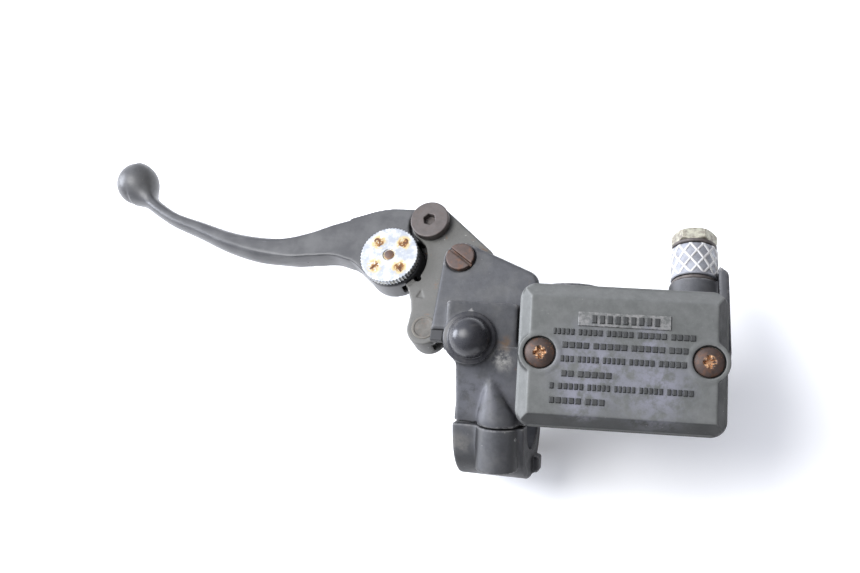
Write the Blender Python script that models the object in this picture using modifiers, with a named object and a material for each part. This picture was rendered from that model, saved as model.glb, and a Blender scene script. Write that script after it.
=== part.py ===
"""Handlebar-mounted hydraulic master cylinder with an adjustable lever.

Millimetres in the script, metres in the scene. The origin is on the handlebar's axis, at
the middle of the clamp. +X runs along the handlebar towards the middle of the motorcycle,
+Y points forwards, and +Z is square to the plane that the lever swings in. The reservoir
and the mirror boss lean back and inwards from that plane, so that they stand level when
the handlebar droops.
"""
from math import cos, pi, radians, sin

import bmesh
import bpy
from mathutils import Matrix, Vector

MM = 0.001

# Handlebar clamp
BAR_RADIUS = 11.15
CLAMP_HALF_WIDTH = 13.0
CLAMP_RING_RADIUS = 14.8
CLAMP_SPLIT = 0.25
CLAMP_PITCH = radians(28)
CLAMP_BOLT_X = 3.5
CLAMP_BOLT_Z = 16.5
CLAMP_BOSS_RADIUS = 7.5
CLAMP_BOSS_END = 16.8
CLAMP_BOLT_RADIUS = 2.6
CLAMP_BACK = 22.0
CLAMP_SHOULDER = 18.0

# Lever plane: the fork's gap and the ear plates above and below it
MID_Z = 15.0
FORK_HALF_GAP = 6.0
EAR_THICKNESS = 4.0
EAR_TOP = MID_Z + FORK_HALF_GAP + EAR_THICKNESS
EAR_BOTTOM = MID_Z - FORK_HALF_GAP - EAR_THICKNESS
EAR_RADIUS = 6.8
GAP = 0.3
KNOCKER_TOP = MID_Z + FORK_HALF_GAP - GAP
KNOCKER_BOTTOM = MID_Z - FORK_HALF_GAP + GAP

# Pivots, in the lever plane (x, y)
PIVOT = (-17.0, 52.0)
BLADE_PIN = (-32.0, 68.0)
DIAL = (-45.4, 52.2)
PUSH_PIN = (-28.0, 25.0)
BALL = (-170.0, 85.0)
BALL_RADIUS = 8.9

# Cylinder
BARREL_Y = 24.0
BARREL_RADIUS = 10.0
BORE_RADIUS = 6.35
MOUTH_X = -9.0
BORE_END_X = 71.0
BARREL_END_X = 78.0
PISTON_RADIUS = BORE_RADIUS - GAP
ROD_LENGTH = 25.0
SEAT_X = PUSH_PIN[0] + ROD_LENGTH

# Outlet
OUTLET_X = 66.8
OUTLET_BOSS_RADIUS = 8.6
OUTLET_FACE_Y = 49.3
BANJO_RADIUS = 4.9
WASHER_THICKNESS = 1.2
SLEEVE_LENGTH = 12.4
SLEEVE_RADIUS = 8.4
HEX_HEIGHT = 5.2

# Reservoir, in its own leaning frame
RESERVOIR_TILT = (radians(13.8), radians(10.4), radians(4.6))
LID_CENTRE = (39.8, 18.9)
LID_SIZE = (68.0, 47.4)
LID_CORNER = 5.5
LID_BASE_Z = 43.2
LID_TOP_Z = 49.2
LID_SCREW_X = 27.0
TUB_SIZE = (62.0, 42.0)
TUB_WALL = 2.6
TUB_BASE_Z = 16.0
TUB_RIM_Z = 41.4
TUB_UNDERSIDE = 13.2
TUB_FLOOR = 16.2
SIGHT_X = 23.8
SIGHT_Z = 31.2
SIGHT_RADIUS = 9.2
SIGHT_FACE_Y = 43.8

# Mirror boss, in the reservoir's frame
MIRROR_AXIS = (-11.2, 25.0)
MIRROR_TOP_Z = 26.6
MIRROR_HOLE_BOTTOM_Z = 18.6
MIRROR_RADIUS = 8.8
MIRROR_HOLE_RADIUS = 4.4

# Adjuster
DIAL_RADIUS = 11.5
DIAL_BOTTOM = MID_Z + 6.6
DIAL_TOP = MID_Z + 9.6
CAM_RADIUS = 7.6
CAM_RISE = 1.5
CAM_TRAVEL = radians(270)
CAM_HALF_THICKNESS = 2.0
PAD_ANGLE = radians(-46)

# Lever switch under the lower ear, and the knocker's tang that presses it
SWITCH_SCREW = (-4.0, 31.0)
SWITCH_Z = EAR_BOTTOM - 3.5
TANG = (-26.5, 38.0)
TANG_RADIUS = 1.4
PLUNGER_Y = 37.0

PARTS = None
CUTTERS = None
FRAMES = {}


# ---------------------------------------------------------------- scene and materials

def empty_the_scene():
    for obj in list(bpy.data.objects):
        bpy.data.objects.remove(obj, do_unlink=True)


def new_collection(name):
    collection = bpy.data.collections.new(name)
    bpy.context.scene.collection.children.link(collection)
    return collection


def material(name, colour, roughness, metallic=0.0):
    mat = bpy.data.materials.new(name)
    mat.use_nodes = True
    shader = mat.node_tree.nodes["Principled BSDF"]
    shader.inputs["Base Color"].default_value = (*colour, 1.0)
    shader.inputs["Roughness"].default_value = roughness
    shader.inputs["Metallic"].default_value = metallic
    mat.diffuse_color = (*colour, 1.0)
    return mat


def part(obj, colour, roughness, metallic=0.0, origin=None):
    """Turn a built shape into a finished part, with its origin on its joint if it has one."""
    obj.data.materials.clear()
    obj.data.materials.append(material(obj.name, colour, roughness, metallic))
    if origin is not None:
        offset = Vector(origin) * MM
        obj.data.transform(Matrix.Translation(-offset))
        obj.location = obj.location + offset
    obj.data.shade_smooth()
    obj.data.set_sharp_from_angle(angle=radians(35))
    return obj


# ---------------------------------------------------------------- shapes

def place(mesh, name, frame=None):
    """Link a mesh as an object, in the reservoir's or the clamp's own frame if it has one."""
    obj = bpy.data.objects.new(name, mesh)
    PARTS.objects.link(obj)
    if frame:
        obj.parent = FRAMES[frame]
    return obj


def add_frame(name, rotation):
    empty = bpy.data.objects.new(name + "_frame", None)
    PARTS.objects.link(empty)
    empty.rotation_euler = rotation
    FRAMES[name] = empty


def mesh_from(name, bm):
    for vert in bm.verts:
        vert.co *= MM
    mesh = bpy.data.meshes.new(name)
    bm.to_mesh(mesh)
    bm.free()
    return mesh


def box(name, low, high, frame=None, round_edges=0.0):
    bm = bmesh.new()
    bmesh.ops.create_cube(bm, size=1.0)
    centre = [(a + b) / 2 for a, b in zip(low, high)]
    size = [b - a for a, b in zip(low, high)]
    for vert in bm.verts:
        vert.co = Vector([c + s * v for c, s, v in zip(centre, size, vert.co)])
    if round_edges:
        bmesh.ops.bevel(bm, geom=bm.edges[:], offset=round_edges, segments=2, affect="EDGES")
    return place(mesh_from(name, bm), name, frame)


def rod(name, start, end, radius, end_radius=None, sides=16, frame=None):
    """A cylinder, or a cone, between two points."""
    start = Vector(start)
    end = Vector(end)
    along = end - start
    bm = bmesh.new()
    turn = along.to_track_quat("Z", "Y").to_matrix().to_4x4()
    bmesh.ops.create_cone(
        bm, cap_ends=True, segments=sides, radius1=radius,
        radius2=radius if end_radius is None else end_radius, depth=along.length,
        matrix=Matrix.Translation((start + end) / 2) @ turn)
    return place(mesh_from(name, bm), name, frame)


def upright(name, centre, radius, low, high, **options):
    return rod(name, (*centre, low), (*centre, high), radius, **options)


def crosswise(name, x0, x1, radius, **options):
    """A cylinder on the barrel's axis."""
    return rod(name, (x0, BARREL_Y, MID_Z), (x1, BARREL_Y, MID_Z), radius, **options)


def ball(name, centre, radius, segments=16, rings=10):
    bm = bmesh.new()
    bmesh.ops.create_uvsphere(
        bm, u_segments=segments, v_segments=rings, radius=radius,
        matrix=Matrix.Translation(Vector(centre)))
    return place(mesh_from(name, bm), name)


def curve_to_mesh(curve_obj, name, frame):
    """The evaluated curve as a mesh object with its caps welded on."""
    bpy.context.view_layer.update()
    evaluated = curve_obj.evaluated_get(bpy.context.evaluated_depsgraph_get())
    mesh = bpy.data.meshes.new_from_object(evaluated)
    mesh.name = name
    bm = bmesh.new()
    bm.from_mesh(mesh)
    bmesh.ops.remove_doubles(bm, verts=bm.verts, dist=0.00001)
    bmesh.ops.recalc_face_normals(bm, faces=bm.faces)
    bm.to_mesh(mesh)
    bm.free()
    bpy.data.objects.remove(curve_obj, do_unlink=True)
    return place(mesh, name, frame)


def plate(name, outline, low, high, frame=None):
    """A flat outline of (x, y) points, extruded from low to high."""
    curve = bpy.data.curves.new(name, "CURVE")
    curve.dimensions = "2D"
    curve.fill_mode = "BOTH"
    curve.extrude = (high - low) / 2 * MM
    spline = curve.splines.new("POLY")
    spline.points.add(len(outline) - 1)
    for point, (x, y) in zip(spline.points, outline):
        point.co = (x * MM, y * MM, 0.0, 1.0)
    spline.use_cyclic_u = True
    curve_obj = bpy.data.objects.new(name + "_outline", curve)
    PARTS.objects.link(curve_obj)
    obj = curve_to_mesh(curve_obj, name, frame)
    obj.data.transform(Matrix.Translation((0, 0, (low + high) / 2 * MM)))
    return obj


def side_plate(name, outline, low, high, frame=None):
    """A flat outline of (y, z) points, extruded along X from low to high."""
    obj = plate(name, outline, low, high, frame)
    x_from_z_y_from_x_z_from_y = ((0, 0, 1, 0), (1, 0, 0, 0), (0, 1, 0, 0), (0, 0, 0, 1))
    obj.data.transform(Matrix(x_from_z_y_from_x_z_from_y))
    return obj


def tube(name, points, radii, sides_resolution=2):
    """A round bar through (x, y, z) points with its own radius at each."""
    curve = bpy.data.curves.new(name, "CURVE")
    curve.dimensions = "3D"
    curve.bevel_depth = MM
    curve.bevel_resolution = sides_resolution
    curve.use_fill_caps = True
    spline = curve.splines.new("POLY")
    spline.points.add(len(points) - 1)
    for point, (x, y, z), radius in zip(spline.points, points, radii):
        point.co = (x * MM, y * MM, z * MM, 1.0)
        point.radius = radius
    curve_obj = bpy.data.objects.new(name + "_path", curve)
    PARTS.objects.link(curve_obj)
    return curve_to_mesh(curve_obj, name, None)


def turned(name, profile, start, direction, sides=20, frame=None):
    """A turned piece: (radius, distance) pairs from the far end back to the start."""
    mesh = bpy.data.meshes.new(name)
    points = [(radius * MM, 0.0, along * MM) for radius, along in profile]
    edges = [(i, i + 1) for i in range(len(points) - 1)]
    if profile[0][0] > 0:
        edges.append((len(points) - 1, 0))
    mesh.from_pydata(points, edges, [])
    obj = place(mesh, name, frame)
    screw = obj.modifiers.new("turn", "SCREW")
    screw.axis = "Z"
    screw.steps = sides
    screw.render_steps = sides
    screw.use_merge_vertices = True
    screw.merge_threshold = 0.00001
    screw.use_smooth_shade = False
    bpy.context.view_layer.update()
    evaluated = obj.evaluated_get(bpy.context.evaluated_depsgraph_get())
    solid = bpy.data.meshes.new_from_object(evaluated)
    solid.name = name
    obj.modifiers.clear()
    obj.data = solid
    bpy.data.meshes.remove(mesh)
    turn = Vector(direction).to_track_quat("Z", "Y").to_matrix().to_4x4()
    solid.transform(Matrix.Translation(Vector(start) * MM) @ turn)
    return obj


def ring(name, start, direction, inner, outer, length, **options):
    profile = [(inner, length), (outer, length), (outer, 0.0), (inner, 0.0)]
    return turned(name, profile, start, direction, **options)


def arc(centre, radius, start, end, steps=8):
    """Points on an arc, from one angle in degrees to the other."""
    angles = [radians(start + (end - start) * i / steps) for i in range(steps + 1)]
    return [(centre[0] + radius * cos(a), centre[1] + radius * sin(a)) for a in angles]


def rounded_rectangle(centre, size, corner, steps=4):
    half_x = size[0] / 2 - corner
    half_y = size[1] / 2 - corner
    points = []
    for sign_x, sign_y, start in ((1, 1, 0), (-1, 1, 90), (-1, -1, 180), (1, -1, 270)):
        middle = (centre[0] + sign_x * half_x, centre[1] + sign_y * half_y)
        points += arc(middle, corner, start, start + 90, steps)
    return points


def hexagon(name, start, end, across_flats, frame=None):
    """A hexagonal prism between two points."""
    return rod(name, start, end, across_flats / 2 / cos(pi / 6), sides=6, frame=frame)


def combine(target, operation, tools):
    """Boolean modifiers on the target. The tools become hidden guides."""
    for tool in tools:
        modifier = target.modifiers.new(operation.lower() + " " + tool.name, "BOOLEAN")
        modifier.operation = operation
        modifier.solver = "EXACT"
        modifier.object = tool
        PARTS.objects.unlink(tool)
        CUTTERS.objects.link(tool)
        tool.hide_render = True
        tool.display_type = "WIRE"
    return target


def join(target, *tools):
    return combine(target, "UNION", tools)


def cut(target, *tools):
    return combine(target, "DIFFERENCE", tools)


# ---------------------------------------------------------------- body casting

def ear_outline(left_foot):
    """The ear plate: round the pivot, along the sloping front edge, back to the barrel."""
    slope = 67.6
    left = PIVOT[0] - EAR_RADIUS
    return (
        [(left - 0.4, left_foot)]
        + arc(PIVOT, EAR_RADIUS, 180, slope)
        + arc((7.9, 43.0), 5.5, slope, 0, 5)
        + [(13.4, 18.0), (-18.5, 18.0), (-18.5, left_foot)])


def clamp_half_shapes():
    """Two bolt bosses that run out into a pillar, whose top rises to the mirror block."""
    for side in (1, -1):
        yield rod(
            f"clamp_boss_{side}", (CLAMP_BOLT_X, -1.0, side * CLAMP_BOLT_Z),
            (CLAMP_BOLT_X, 14.6, side * CLAMP_BOLT_Z), CLAMP_BOSS_RADIUS, frame="clamp")
    boss_top = CLAMP_BOLT_Z + CLAMP_BOSS_RADIUS
    profile = [(-1.1, -12.5), (15.0, -12.5), (22.5, -5.0), (28.6, 5.0), (28.6, 19.9),
               (14.6, boss_top + 0.1), (-1.1, CLAMP_SHOULDER - 0.5)]
    yield side_plate("pillar", profile, -12.3, 11.9, frame="clamp")


def mirror_boss_shapes():
    yield upright("mirror_boss", MIRROR_AXIS, MIRROR_RADIUS, 4.0, MIRROR_TOP_Z, frame="reservoir")
    yield box("mirror_block", (-20.0, 22.5, 8.0), (5.5, 38.2, MIRROR_TOP_Z - 0.05),
              frame="reservoir", round_edges=1.2)


def level_slab(name, top):
    """Everything below a level in the lever's plane, under the reservoir."""
    return box(name, (-20.0, -60.0, top - 60.0), (120.0, 90.0, top))


def tub_shapes():
    """The reservoir's walls. Its underside stays clear of the handlebar and follows it."""
    outline = rounded_rectangle(LID_CENTRE, TUB_SIZE, LID_CORNER)
    tub = plate("tub", outline, TUB_BASE_Z - 20.0, TUB_RIM_Z, frame="reservoir")
    yield cut(tub, level_slab("tub_underside", TUB_UNDERSIDE))
    yield rod("sight_boss", (SIGHT_X, 36.0, SIGHT_Z), (SIGHT_X, SIGHT_FACE_Y, SIGHT_Z),
              SIGHT_RADIUS, sides=24, frame="reservoir")


def barrel_shapes():
    yield crosswise("barrel", MOUTH_X, BARREL_END_X, BARREL_RADIUS)
    yield box("barrel_saddle", (6.5, 12.5, 9.0), (30.0, 33.0, 28.0))
    yield rod("outlet_boss", (OUTLET_X, BARREL_Y, MID_Z), (OUTLET_X, OUTLET_FACE_Y, MID_Z),
              OUTLET_BOSS_RADIUS)
    yield box("hose_stop", (76.3, 21.0, 8.0), (79.5, 55.0, 22.5), round_edges=0.8)


def tub_cavity():
    """The reservoir's well, less the two screw pillars and the barrel's hump in its floor."""
    inner = (TUB_SIZE[0] - 2 * TUB_WALL, TUB_SIZE[1] - 2 * TUB_WALL)
    outline = rounded_rectangle(LID_CENTRE, inner, LID_CORNER - TUB_WALL)
    cavity = plate("tub_cavity", outline, TUB_BASE_Z - 20.0, TUB_RIM_Z + 2.0,
                   frame="reservoir")
    cut(cavity, level_slab("tub_floor", TUB_FLOOR))
    pillars = [
        upright(f"screw_pillar_{side}", (LID_CENTRE[0] + side * LID_SCREW_X, LID_CENTRE[1]),
                5.0, TUB_BASE_Z - 21.0, TUB_RIM_Z + 3.0, frame="reservoir")
        for side in (-1, 1)]
    hump = crosswise("barrel_hump", 5.0, BARREL_END_X, BARREL_RADIUS - 0.05)
    return cut(cavity, hump, *pillars)


def body_holes():
    yield rod("bar_bore", (-30.0, 0, 0), (30.0, 0, 0), BAR_RADIUS, sides=36)
    yield box("split", (-13.5, -30.0, -30.0), (13.0, CLAMP_SPLIT, 30.0), frame="clamp")
    for side in (1, -1):
        yield rod(f"clamp_thread_{side}", (CLAMP_BOLT_X, -2.0, side * CLAMP_BOLT_Z),
                  (CLAMP_BOLT_X, 14.0, side * CLAMP_BOLT_Z), CLAMP_BOLT_RADIUS + GAP,
                  sides=12, frame="clamp")
        yield upright(f"lid_thread_{side}", (LID_CENTRE[0] + side * LID_SCREW_X, LID_CENTRE[1]),
                      2.3, 31.0, 45.0, sides=12, frame="reservoir")
    gap_outline = [(MOUTH_X, 15.5), (MOUTH_X, 35.0), (3.0, 35.0), (3.0, 66.0), (-45.0, 66.0),
                   (-45.0, 15.5)]
    yield plate("fork_gap", gap_outline, MID_Z - FORK_HALF_GAP, MID_Z + FORK_HALF_GAP)
    yield crosswise("bore", MOUTH_X - 1.0, BORE_END_X, BORE_RADIUS)
    yield crosswise("clip_groove", -8.3, -6.7, BORE_RADIUS + 1.0)
    yield crosswise("boot_room", -32.0, MOUTH_X, 7.2)
    yield upright("pivot_hole", PIVOT, 4.3, 0.0, 40.0, sides=16)
    yield upright("pivot_recess", PIVOT, 5.8, EAR_TOP - 1.0, EAR_TOP + 5.0, sides=20)
    yield rod("outlet_thread", (OUTLET_X, 33.5, MID_Z), (OUTLET_X, 70.0, MID_Z),
              BANJO_RADIUS + GAP, sides=16)
    yield rod("outlet_port", (OUTLET_X, BARREL_Y, MID_Z), (OUTLET_X, 40.0, MID_Z), 1.6, sides=8)
    yield upright("mirror_thread", MIRROR_AXIS, MIRROR_HOLE_RADIUS + GAP, MIRROR_HOLE_BOTTOM_Z,
                  40.0, sides=16, frame="reservoir")
    yield rod("sight_hole", (SIGHT_X, 35.0, SIGHT_Z), (SIGHT_X, 50.0, SIGHT_Z), 5.0,
              sides=16, frame="reservoir")
    yield rod("sight_recess", (SIGHT_X, 40.2, SIGHT_Z), (SIGHT_X, 50.0, SIGHT_Z), 7.6,
              sides=20, frame="reservoir")
    for name, x, radius in (("supply_port", 18.0, 1.5), ("compensating_port", 31.0, 0.8)):
        yield rod(name, (x, BARREL_Y, MID_Z), (x + 1.0, BARREL_Y - 1.0, MID_Z + 13.0), radius,
                  sides=8)
    yield upright("switch_thread", SWITCH_SCREW, 1.5, 0.0, 10.0, sides=8)


def master_cylinder_body():
    body = plate("master_cylinder_body", ear_outline(20.0), MID_Z + FORK_HALF_GAP, EAR_TOP)
    join(body, plate("lower_ear", ear_outline(44.0), EAR_BOTTOM, MID_Z - FORK_HALF_GAP))
    join(body, box("core", (-8.0, 13.0, 6.0), (13.0, 35.0, 24.5)))
    join(body, box("fork_root", (3.0, 33.0, 6.0), (13.0, 41.0, 24.5)))
    ring_shape = rod("clamp_ring", (-CLAMP_HALF_WIDTH, 0, 0), (CLAMP_HALF_WIDTH, 0, 0),
                     CLAMP_RING_RADIUS, sides=36)
    join(body, ring_shape, *clamp_half_shapes())
    join(body, *mirror_boss_shapes())
    join(body, *barrel_shapes())
    join(body, *tub_shapes())
    cut(body, tub_cavity())
    cut(body, *body_holes())
    return part(body, (0.035, 0.036, 0.038), 0.5)


# ---------------------------------------------------------------- clamp and mirror hole

def clamp_cap():
    """A deep oval cap with two bolt bosses and a wider rib across its back."""
    cap = rod("clamp_cap", (-CLAMP_HALF_WIDTH, 0, 0), (CLAMP_HALF_WIDTH, 0, 0),
              CLAMP_SHOULDER, sides=36, frame="clamp")
    cap.data.transform(Matrix.Diagonal((1.0, CLAMP_BACK / CLAMP_SHOULDER, 1.0, 1.0)))
    for side in (1, -1):
        join(cap, rod(f"cap_boss_{side}", (CLAMP_BOLT_X, 1.0, side * CLAMP_BOLT_Z),
                      (CLAMP_BOLT_X, -CLAMP_BOSS_END, side * CLAMP_BOLT_Z), CLAMP_BOSS_RADIUS,
                      frame="clamp"))
    join(cap, box("cap_rib", (-15.2, -20.6, -9.0), (15.2, -14.6, -2.0), round_edges=1.0,
                  frame="clamp"))
    cut(cap, box("cap_split", (-20.0, -CLAMP_SPLIT, -30.0), (20.0, 30.0, 30.0), frame="clamp"))
    cut(cap, rod("cap_bore", (-30.0, 0, 0), (30.0, 0, 0), BAR_RADIUS, sides=36, frame="clamp"))
    for side in (1, -1):
        z = side * CLAMP_BOLT_Z
        cut(cap, rod(f"cap_hole_{side}", (CLAMP_BOLT_X, -30.0, z), (CLAMP_BOLT_X, 5.0, z),
                     CLAMP_BOLT_RADIUS + GAP, sides=12, frame="clamp"))
        cut(cap, rod(f"cap_counterbore_{side}", (CLAMP_BOLT_X, -30.0, z),
                     (CLAMP_BOLT_X, -11.5, z), 5.4, sides=16, frame="clamp"))
    return part(cap, (0.035, 0.036, 0.038), 0.5)


def clamp_bolts():
    for side, label in ((1, "upper"), (-1, "lower")):
        z = side * CLAMP_BOLT_Z
        bolt = rod(f"clamp_bolt_{label}", (CLAMP_BOLT_X, -16.8, z), (CLAMP_BOLT_X, -11.8, z),
                   5.0, sides=16, frame="clamp")
        join(bolt, rod(f"clamp_shank_{label}", (CLAMP_BOLT_X, -12.5, z),
                       (CLAMP_BOLT_X, 13.0, z), CLAMP_BOLT_RADIUS, sides=12, frame="clamp"))
        cut(bolt, hexagon(f"clamp_socket_{label}", (CLAMP_BOLT_X, -18.0, z),
                          (CLAMP_BOLT_X, -13.8, z), 5.0, frame="clamp"))
        part(bolt, (0.12, 0.11, 0.10), 0.45, 0.8)


def mirror_hole_plug():
    """A rubber plug: domed head, thin flange and a stem in the threaded hole."""
    base = MIRROR_TOP_Z + GAP
    dome = [(6.9 * cos(a), base + 1.6 + 7.4 * sin(a)) for a in
            [radians(90 - 90 * i / 5) for i in range(6)]]
    profile = [(0.0, base + 9.0)] + dome[1:]
    profile += [(8.5, base + 1.3), (8.7, base + 0.6), (8.5, base), (MIRROR_HOLE_RADIUS, base)]
    stem_end = MIRROR_HOLE_BOTTOM_Z + 0.8
    profile += [(MIRROR_HOLE_RADIUS - 0.4, stem_end), (0.0, stem_end)]
    plug = turned("mirror_hole_plug", profile, (*MIRROR_AXIS, 0), (0, 0, 1), frame="reservoir")
    return part(plug, (0.02, 0.02, 0.022), 0.35)


# ---------------------------------------------------------------- reservoir

def reservoir_lid():
    lid = plate("reservoir_lid", rounded_rectangle(LID_CENTRE, LID_SIZE, LID_CORNER),
                LID_BASE_Z - 1.2, LID_BASE_Z + 1.0, frame="reservoir")
    step = plate("lid_plateau", rounded_rectangle(
        LID_CENTRE, (LID_SIZE[0] - 6.0, LID_SIZE[1] - 6.0), LID_CORNER - 1.5),
        LID_BASE_Z - 0.5, LID_TOP_Z, frame="reservoir")
    join(lid, step)
    hollow = plate("lid_hollow", rounded_rectangle(LID_CENTRE, (50.0, 34.0), 3.0),
                   LID_BASE_Z - 3.0, LID_TOP_Z - 2.5, frame="reservoir")
    bosses = [
        upright(f"lid_boss_{side}", (LID_CENTRE[0] + side * LID_SCREW_X, LID_CENTRE[1]), 6.9,
                LID_BASE_Z - 4.0, LID_TOP_Z, frame="reservoir", sides=20)
        for side in (-1, 1)]
    cut(hollow, *bosses)
    cut(lid, hollow)
    for side in (-1, 1):
        centre = (LID_CENTRE[0] + side * LID_SCREW_X, LID_CENTRE[1])
        cut(lid, upright(f"lid_hole_{side}", centre, 2.8, 40.0, 60.0, sides=20, frame="reservoir"))
        cut(lid, upright(f"lid_sink_{side}", centre, 5.3, LID_TOP_Z - 1.6, 60.0, sides=20,
                         frame="reservoir"))
    return part(lid, (0.10, 0.105, 0.10), 0.6)


def lid_screws():
    """Pan-head cross-recess screws, sunk in the lid's two bosses."""
    seat = LID_TOP_Z - 1.6 + GAP
    for side, label in ((-1, "left"), (1, "right")):
        centre = (LID_CENTRE[0] + side * LID_SCREW_X, LID_CENTRE[1])
        profile = [(0.0, seat + 2.4), (2.6, seat + 2.2), (4.2, seat + 1.6), (4.95, seat + 0.6),
                   (4.95, seat), (2.0, seat), (2.0, 32.0), (0.0, 31.6)]
        screw = turned(f"lid_screw_{label}", profile, (*centre, 0), (0, 0, 1), sides=16,
                       frame="reservoir")
        for slot, half in (("a", (2.3, 0.5)), ("b", (0.5, 2.3))):
            cut(screw, box(f"cross_{slot}_{label}",
                           (centre[0] - half[0], centre[1] - half[1], seat + 0.8),
                           (centre[0] + half[0], centre[1] + half[1], seat + 5.0), frame="reservoir"))
        part(screw, (0.22, 0.10, 0.06), 0.55, 0.7)


def screw_notches(target, label):
    """Round clearances for the two lid screws."""
    for side in (-1, 1):
        centre = (LID_CENTRE[0] + side * LID_SCREW_X, LID_CENTRE[1])
        cut(target, upright(f"{label}_notch_{side}", centre, 5.3, 30.0, 60.0, sides=20,
                            frame="reservoir"))


def diaphragm():
    """A rubber sheet pinched on the rim, with a shallow bellows that hangs in the well."""
    sheet = plate("diaphragm", rounded_rectangle(LID_CENTRE, (60.0, 40.5), LID_CORNER - 0.5),
                  TUB_RIM_Z + 0.15, TUB_RIM_Z + 0.45, frame="reservoir")
    bellows = rounded_rectangle(LID_CENTRE, (42.0, 33.0), 3.0)
    join(sheet, plate("bellows", bellows, TUB_RIM_Z - 3.7, TUB_RIM_Z + 0.3, frame="reservoir"))
    inner = rounded_rectangle(LID_CENTRE, (39.0, 30.0), 2.0)
    cut(sheet, plate("bellows_inside", inner, TUB_RIM_Z - 2.2, TUB_RIM_Z + 5.0,
                     frame="reservoir"))
    screw_notches(sheet, "sheet")
    return part(sheet, (0.03, 0.03, 0.03), 0.7)


def diaphragm_plate():
    """A thin moulded plate between the lid and the diaphragm's bellows."""
    tray = plate("diaphragm_plate", rounded_rectangle(LID_CENTRE, (36.0, 27.0), 2.0),
                 TUB_RIM_Z - 1.8, TUB_RIM_Z + 0.8, frame="reservoir")
    cut(tray, plate("tray_hollow", rounded_rectangle(LID_CENTRE, (32.0, 23.0), 1.5),
                    TUB_RIM_Z - 0.6, TUB_RIM_Z + 3.0, frame="reservoir"))
    return part(tray, (0.65, 0.63, 0.56), 0.5)


def port_guard():
    """A pressed strip over the two small ports in the barrel's hump."""
    guard = plate("port_guard", rounded_rectangle((28.5, BARREL_Y), (18.0, 6.6), 2.0, 3),
                  26.2, 27.2)
    for x in (22.0, 35.0):
        join(guard, upright(f"guard_leg_{int(x)}", (x, BARREL_Y), 1.2, 25.4, 26.8, sides=10))
    return part(guard, (0.6, 0.6, 0.6), 0.35, 1.0)


def sight_window():
    lens = rod("sight_glass", (SIGHT_X, 41.2, SIGHT_Z), (SIGHT_X, 43.2, SIGHT_Z), 5.6,
               sides=20, frame="reservoir")
    part(lens, (0.75, 0.8, 0.78), 0.1)
    seal = ring("sight_glass_seal", (SIGHT_X, 40.5, SIGHT_Z), (0, 1, 0), 5.9, 7.3, 3.0,
                sides=20, frame="reservoir")
    part(seal, (0.05, 0.05, 0.05), 0.6)


# ---------------------------------------------------------------- outlet

def outlet():
    first = OUTLET_FACE_Y + GAP
    sleeve_start = first + WASHER_THICKNESS + GAP
    second = sleeve_start + SLEEVE_LENGTH + GAP
    head = second + WASHER_THICKNESS + GAP
    for label, y in (("inner", first), ("outer", second)):
        washer = ring(f"crush_washer_{label}", (OUTLET_X, y, MID_Z), (0, 1, 0),
                      BANJO_RADIUS + GAP, OUTLET_BOSS_RADIUS - 0.7, WASHER_THICKNESS, sides=20)
        part(washer, (0.55, 0.28, 0.14), 0.4, 1.0)
    sleeve = turned(
        "outlet_sleeve",
        [(BANJO_RADIUS + GAP, SLEEVE_LENGTH), (SLEEVE_RADIUS - 0.4, SLEEVE_LENGTH),
         (SLEEVE_RADIUS, SLEEVE_LENGTH - 0.6), (SLEEVE_RADIUS + 0.3, 0.6),
         (SLEEVE_RADIUS, 0.0), (BANJO_RADIUS + GAP, 0.0)],
        (OUTLET_X, sleeve_start, MID_Z), (0, 1, 0))
    part(sleeve, (0.7, 0.7, 0.72), 0.35, 1.0)
    bolt = hexagon("banjo_bolt", (OUTLET_X, head, MID_Z), (OUTLET_X, head + HEX_HEIGHT, MID_Z),
                   14.0)
    join(bolt, rod("banjo_shank", (OUTLET_X, 36.0, MID_Z), (OUTLET_X, head + 1.0, MID_Z),
                   BANJO_RADIUS, sides=16))
    cut(bolt, rod("banjo_drilling", (OUTLET_X, 30.0, MID_Z), (OUTLET_X, 59.0, MID_Z), 1.8,
                  sides=12))
    cut(bolt, rod("banjo_cross_drilling", (OUTLET_X - 9.0, 57.0, MID_Z),
                  (OUTLET_X + 9.0, 57.0, MID_Z), 1.2, sides=8))
    part(bolt, (0.45, 0.42, 0.36), 0.4, 1.0)


# ---------------------------------------------------------------- cylinder internals

def piston():
    """Turned piston: rear stem with a seat for the pushrod, lands, waist and nose."""
    stem = 5.0
    profile = [
        (0.0, 31.0), (3.5, 31.0), (3.5, 23.0), (PISTON_RADIUS, 23.0), (PISTON_RADIUS, 20.5),
        (4.4, 20.0), (4.4, 5.0), (PISTON_RADIUS, 4.5), (PISTON_RADIUS, 3.0), (4.2, 3.0),
        (4.2, -1.5), (PISTON_RADIUS, -1.5), (PISTON_RADIUS, -5.0), (stem, -5.0), (stem, -10.0),
        (3.7, -10.0), (3.7, -0.5), (0.0, 1.0)]
    shape = turned("piston", profile, (0, BARREL_Y, MID_Z), (1, 0, 0), sides=20)
    return part(shape, (0.6, 0.58, 0.5), 0.35, 1.0, origin=(0, BARREL_Y, MID_Z))


def cup(name, x, inner, length):
    """A rubber cup seal with a hollow front face."""
    outer = PISTON_RADIUS
    lip = (inner + outer) / 2
    profile = [(inner, length), (inner + 0.5, length), (lip, length - 1.6),
               (outer - 0.3, length), (outer, length), (outer - 0.2, 0.0), (inner, 0.0)]
    shape = turned(name, profile, (x, BARREL_Y, MID_Z), (1, 0, 0), sides=16)
    return part(shape, (0.03, 0.03, 0.03), 0.6, origin=(x, BARREL_Y, MID_Z))


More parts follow.
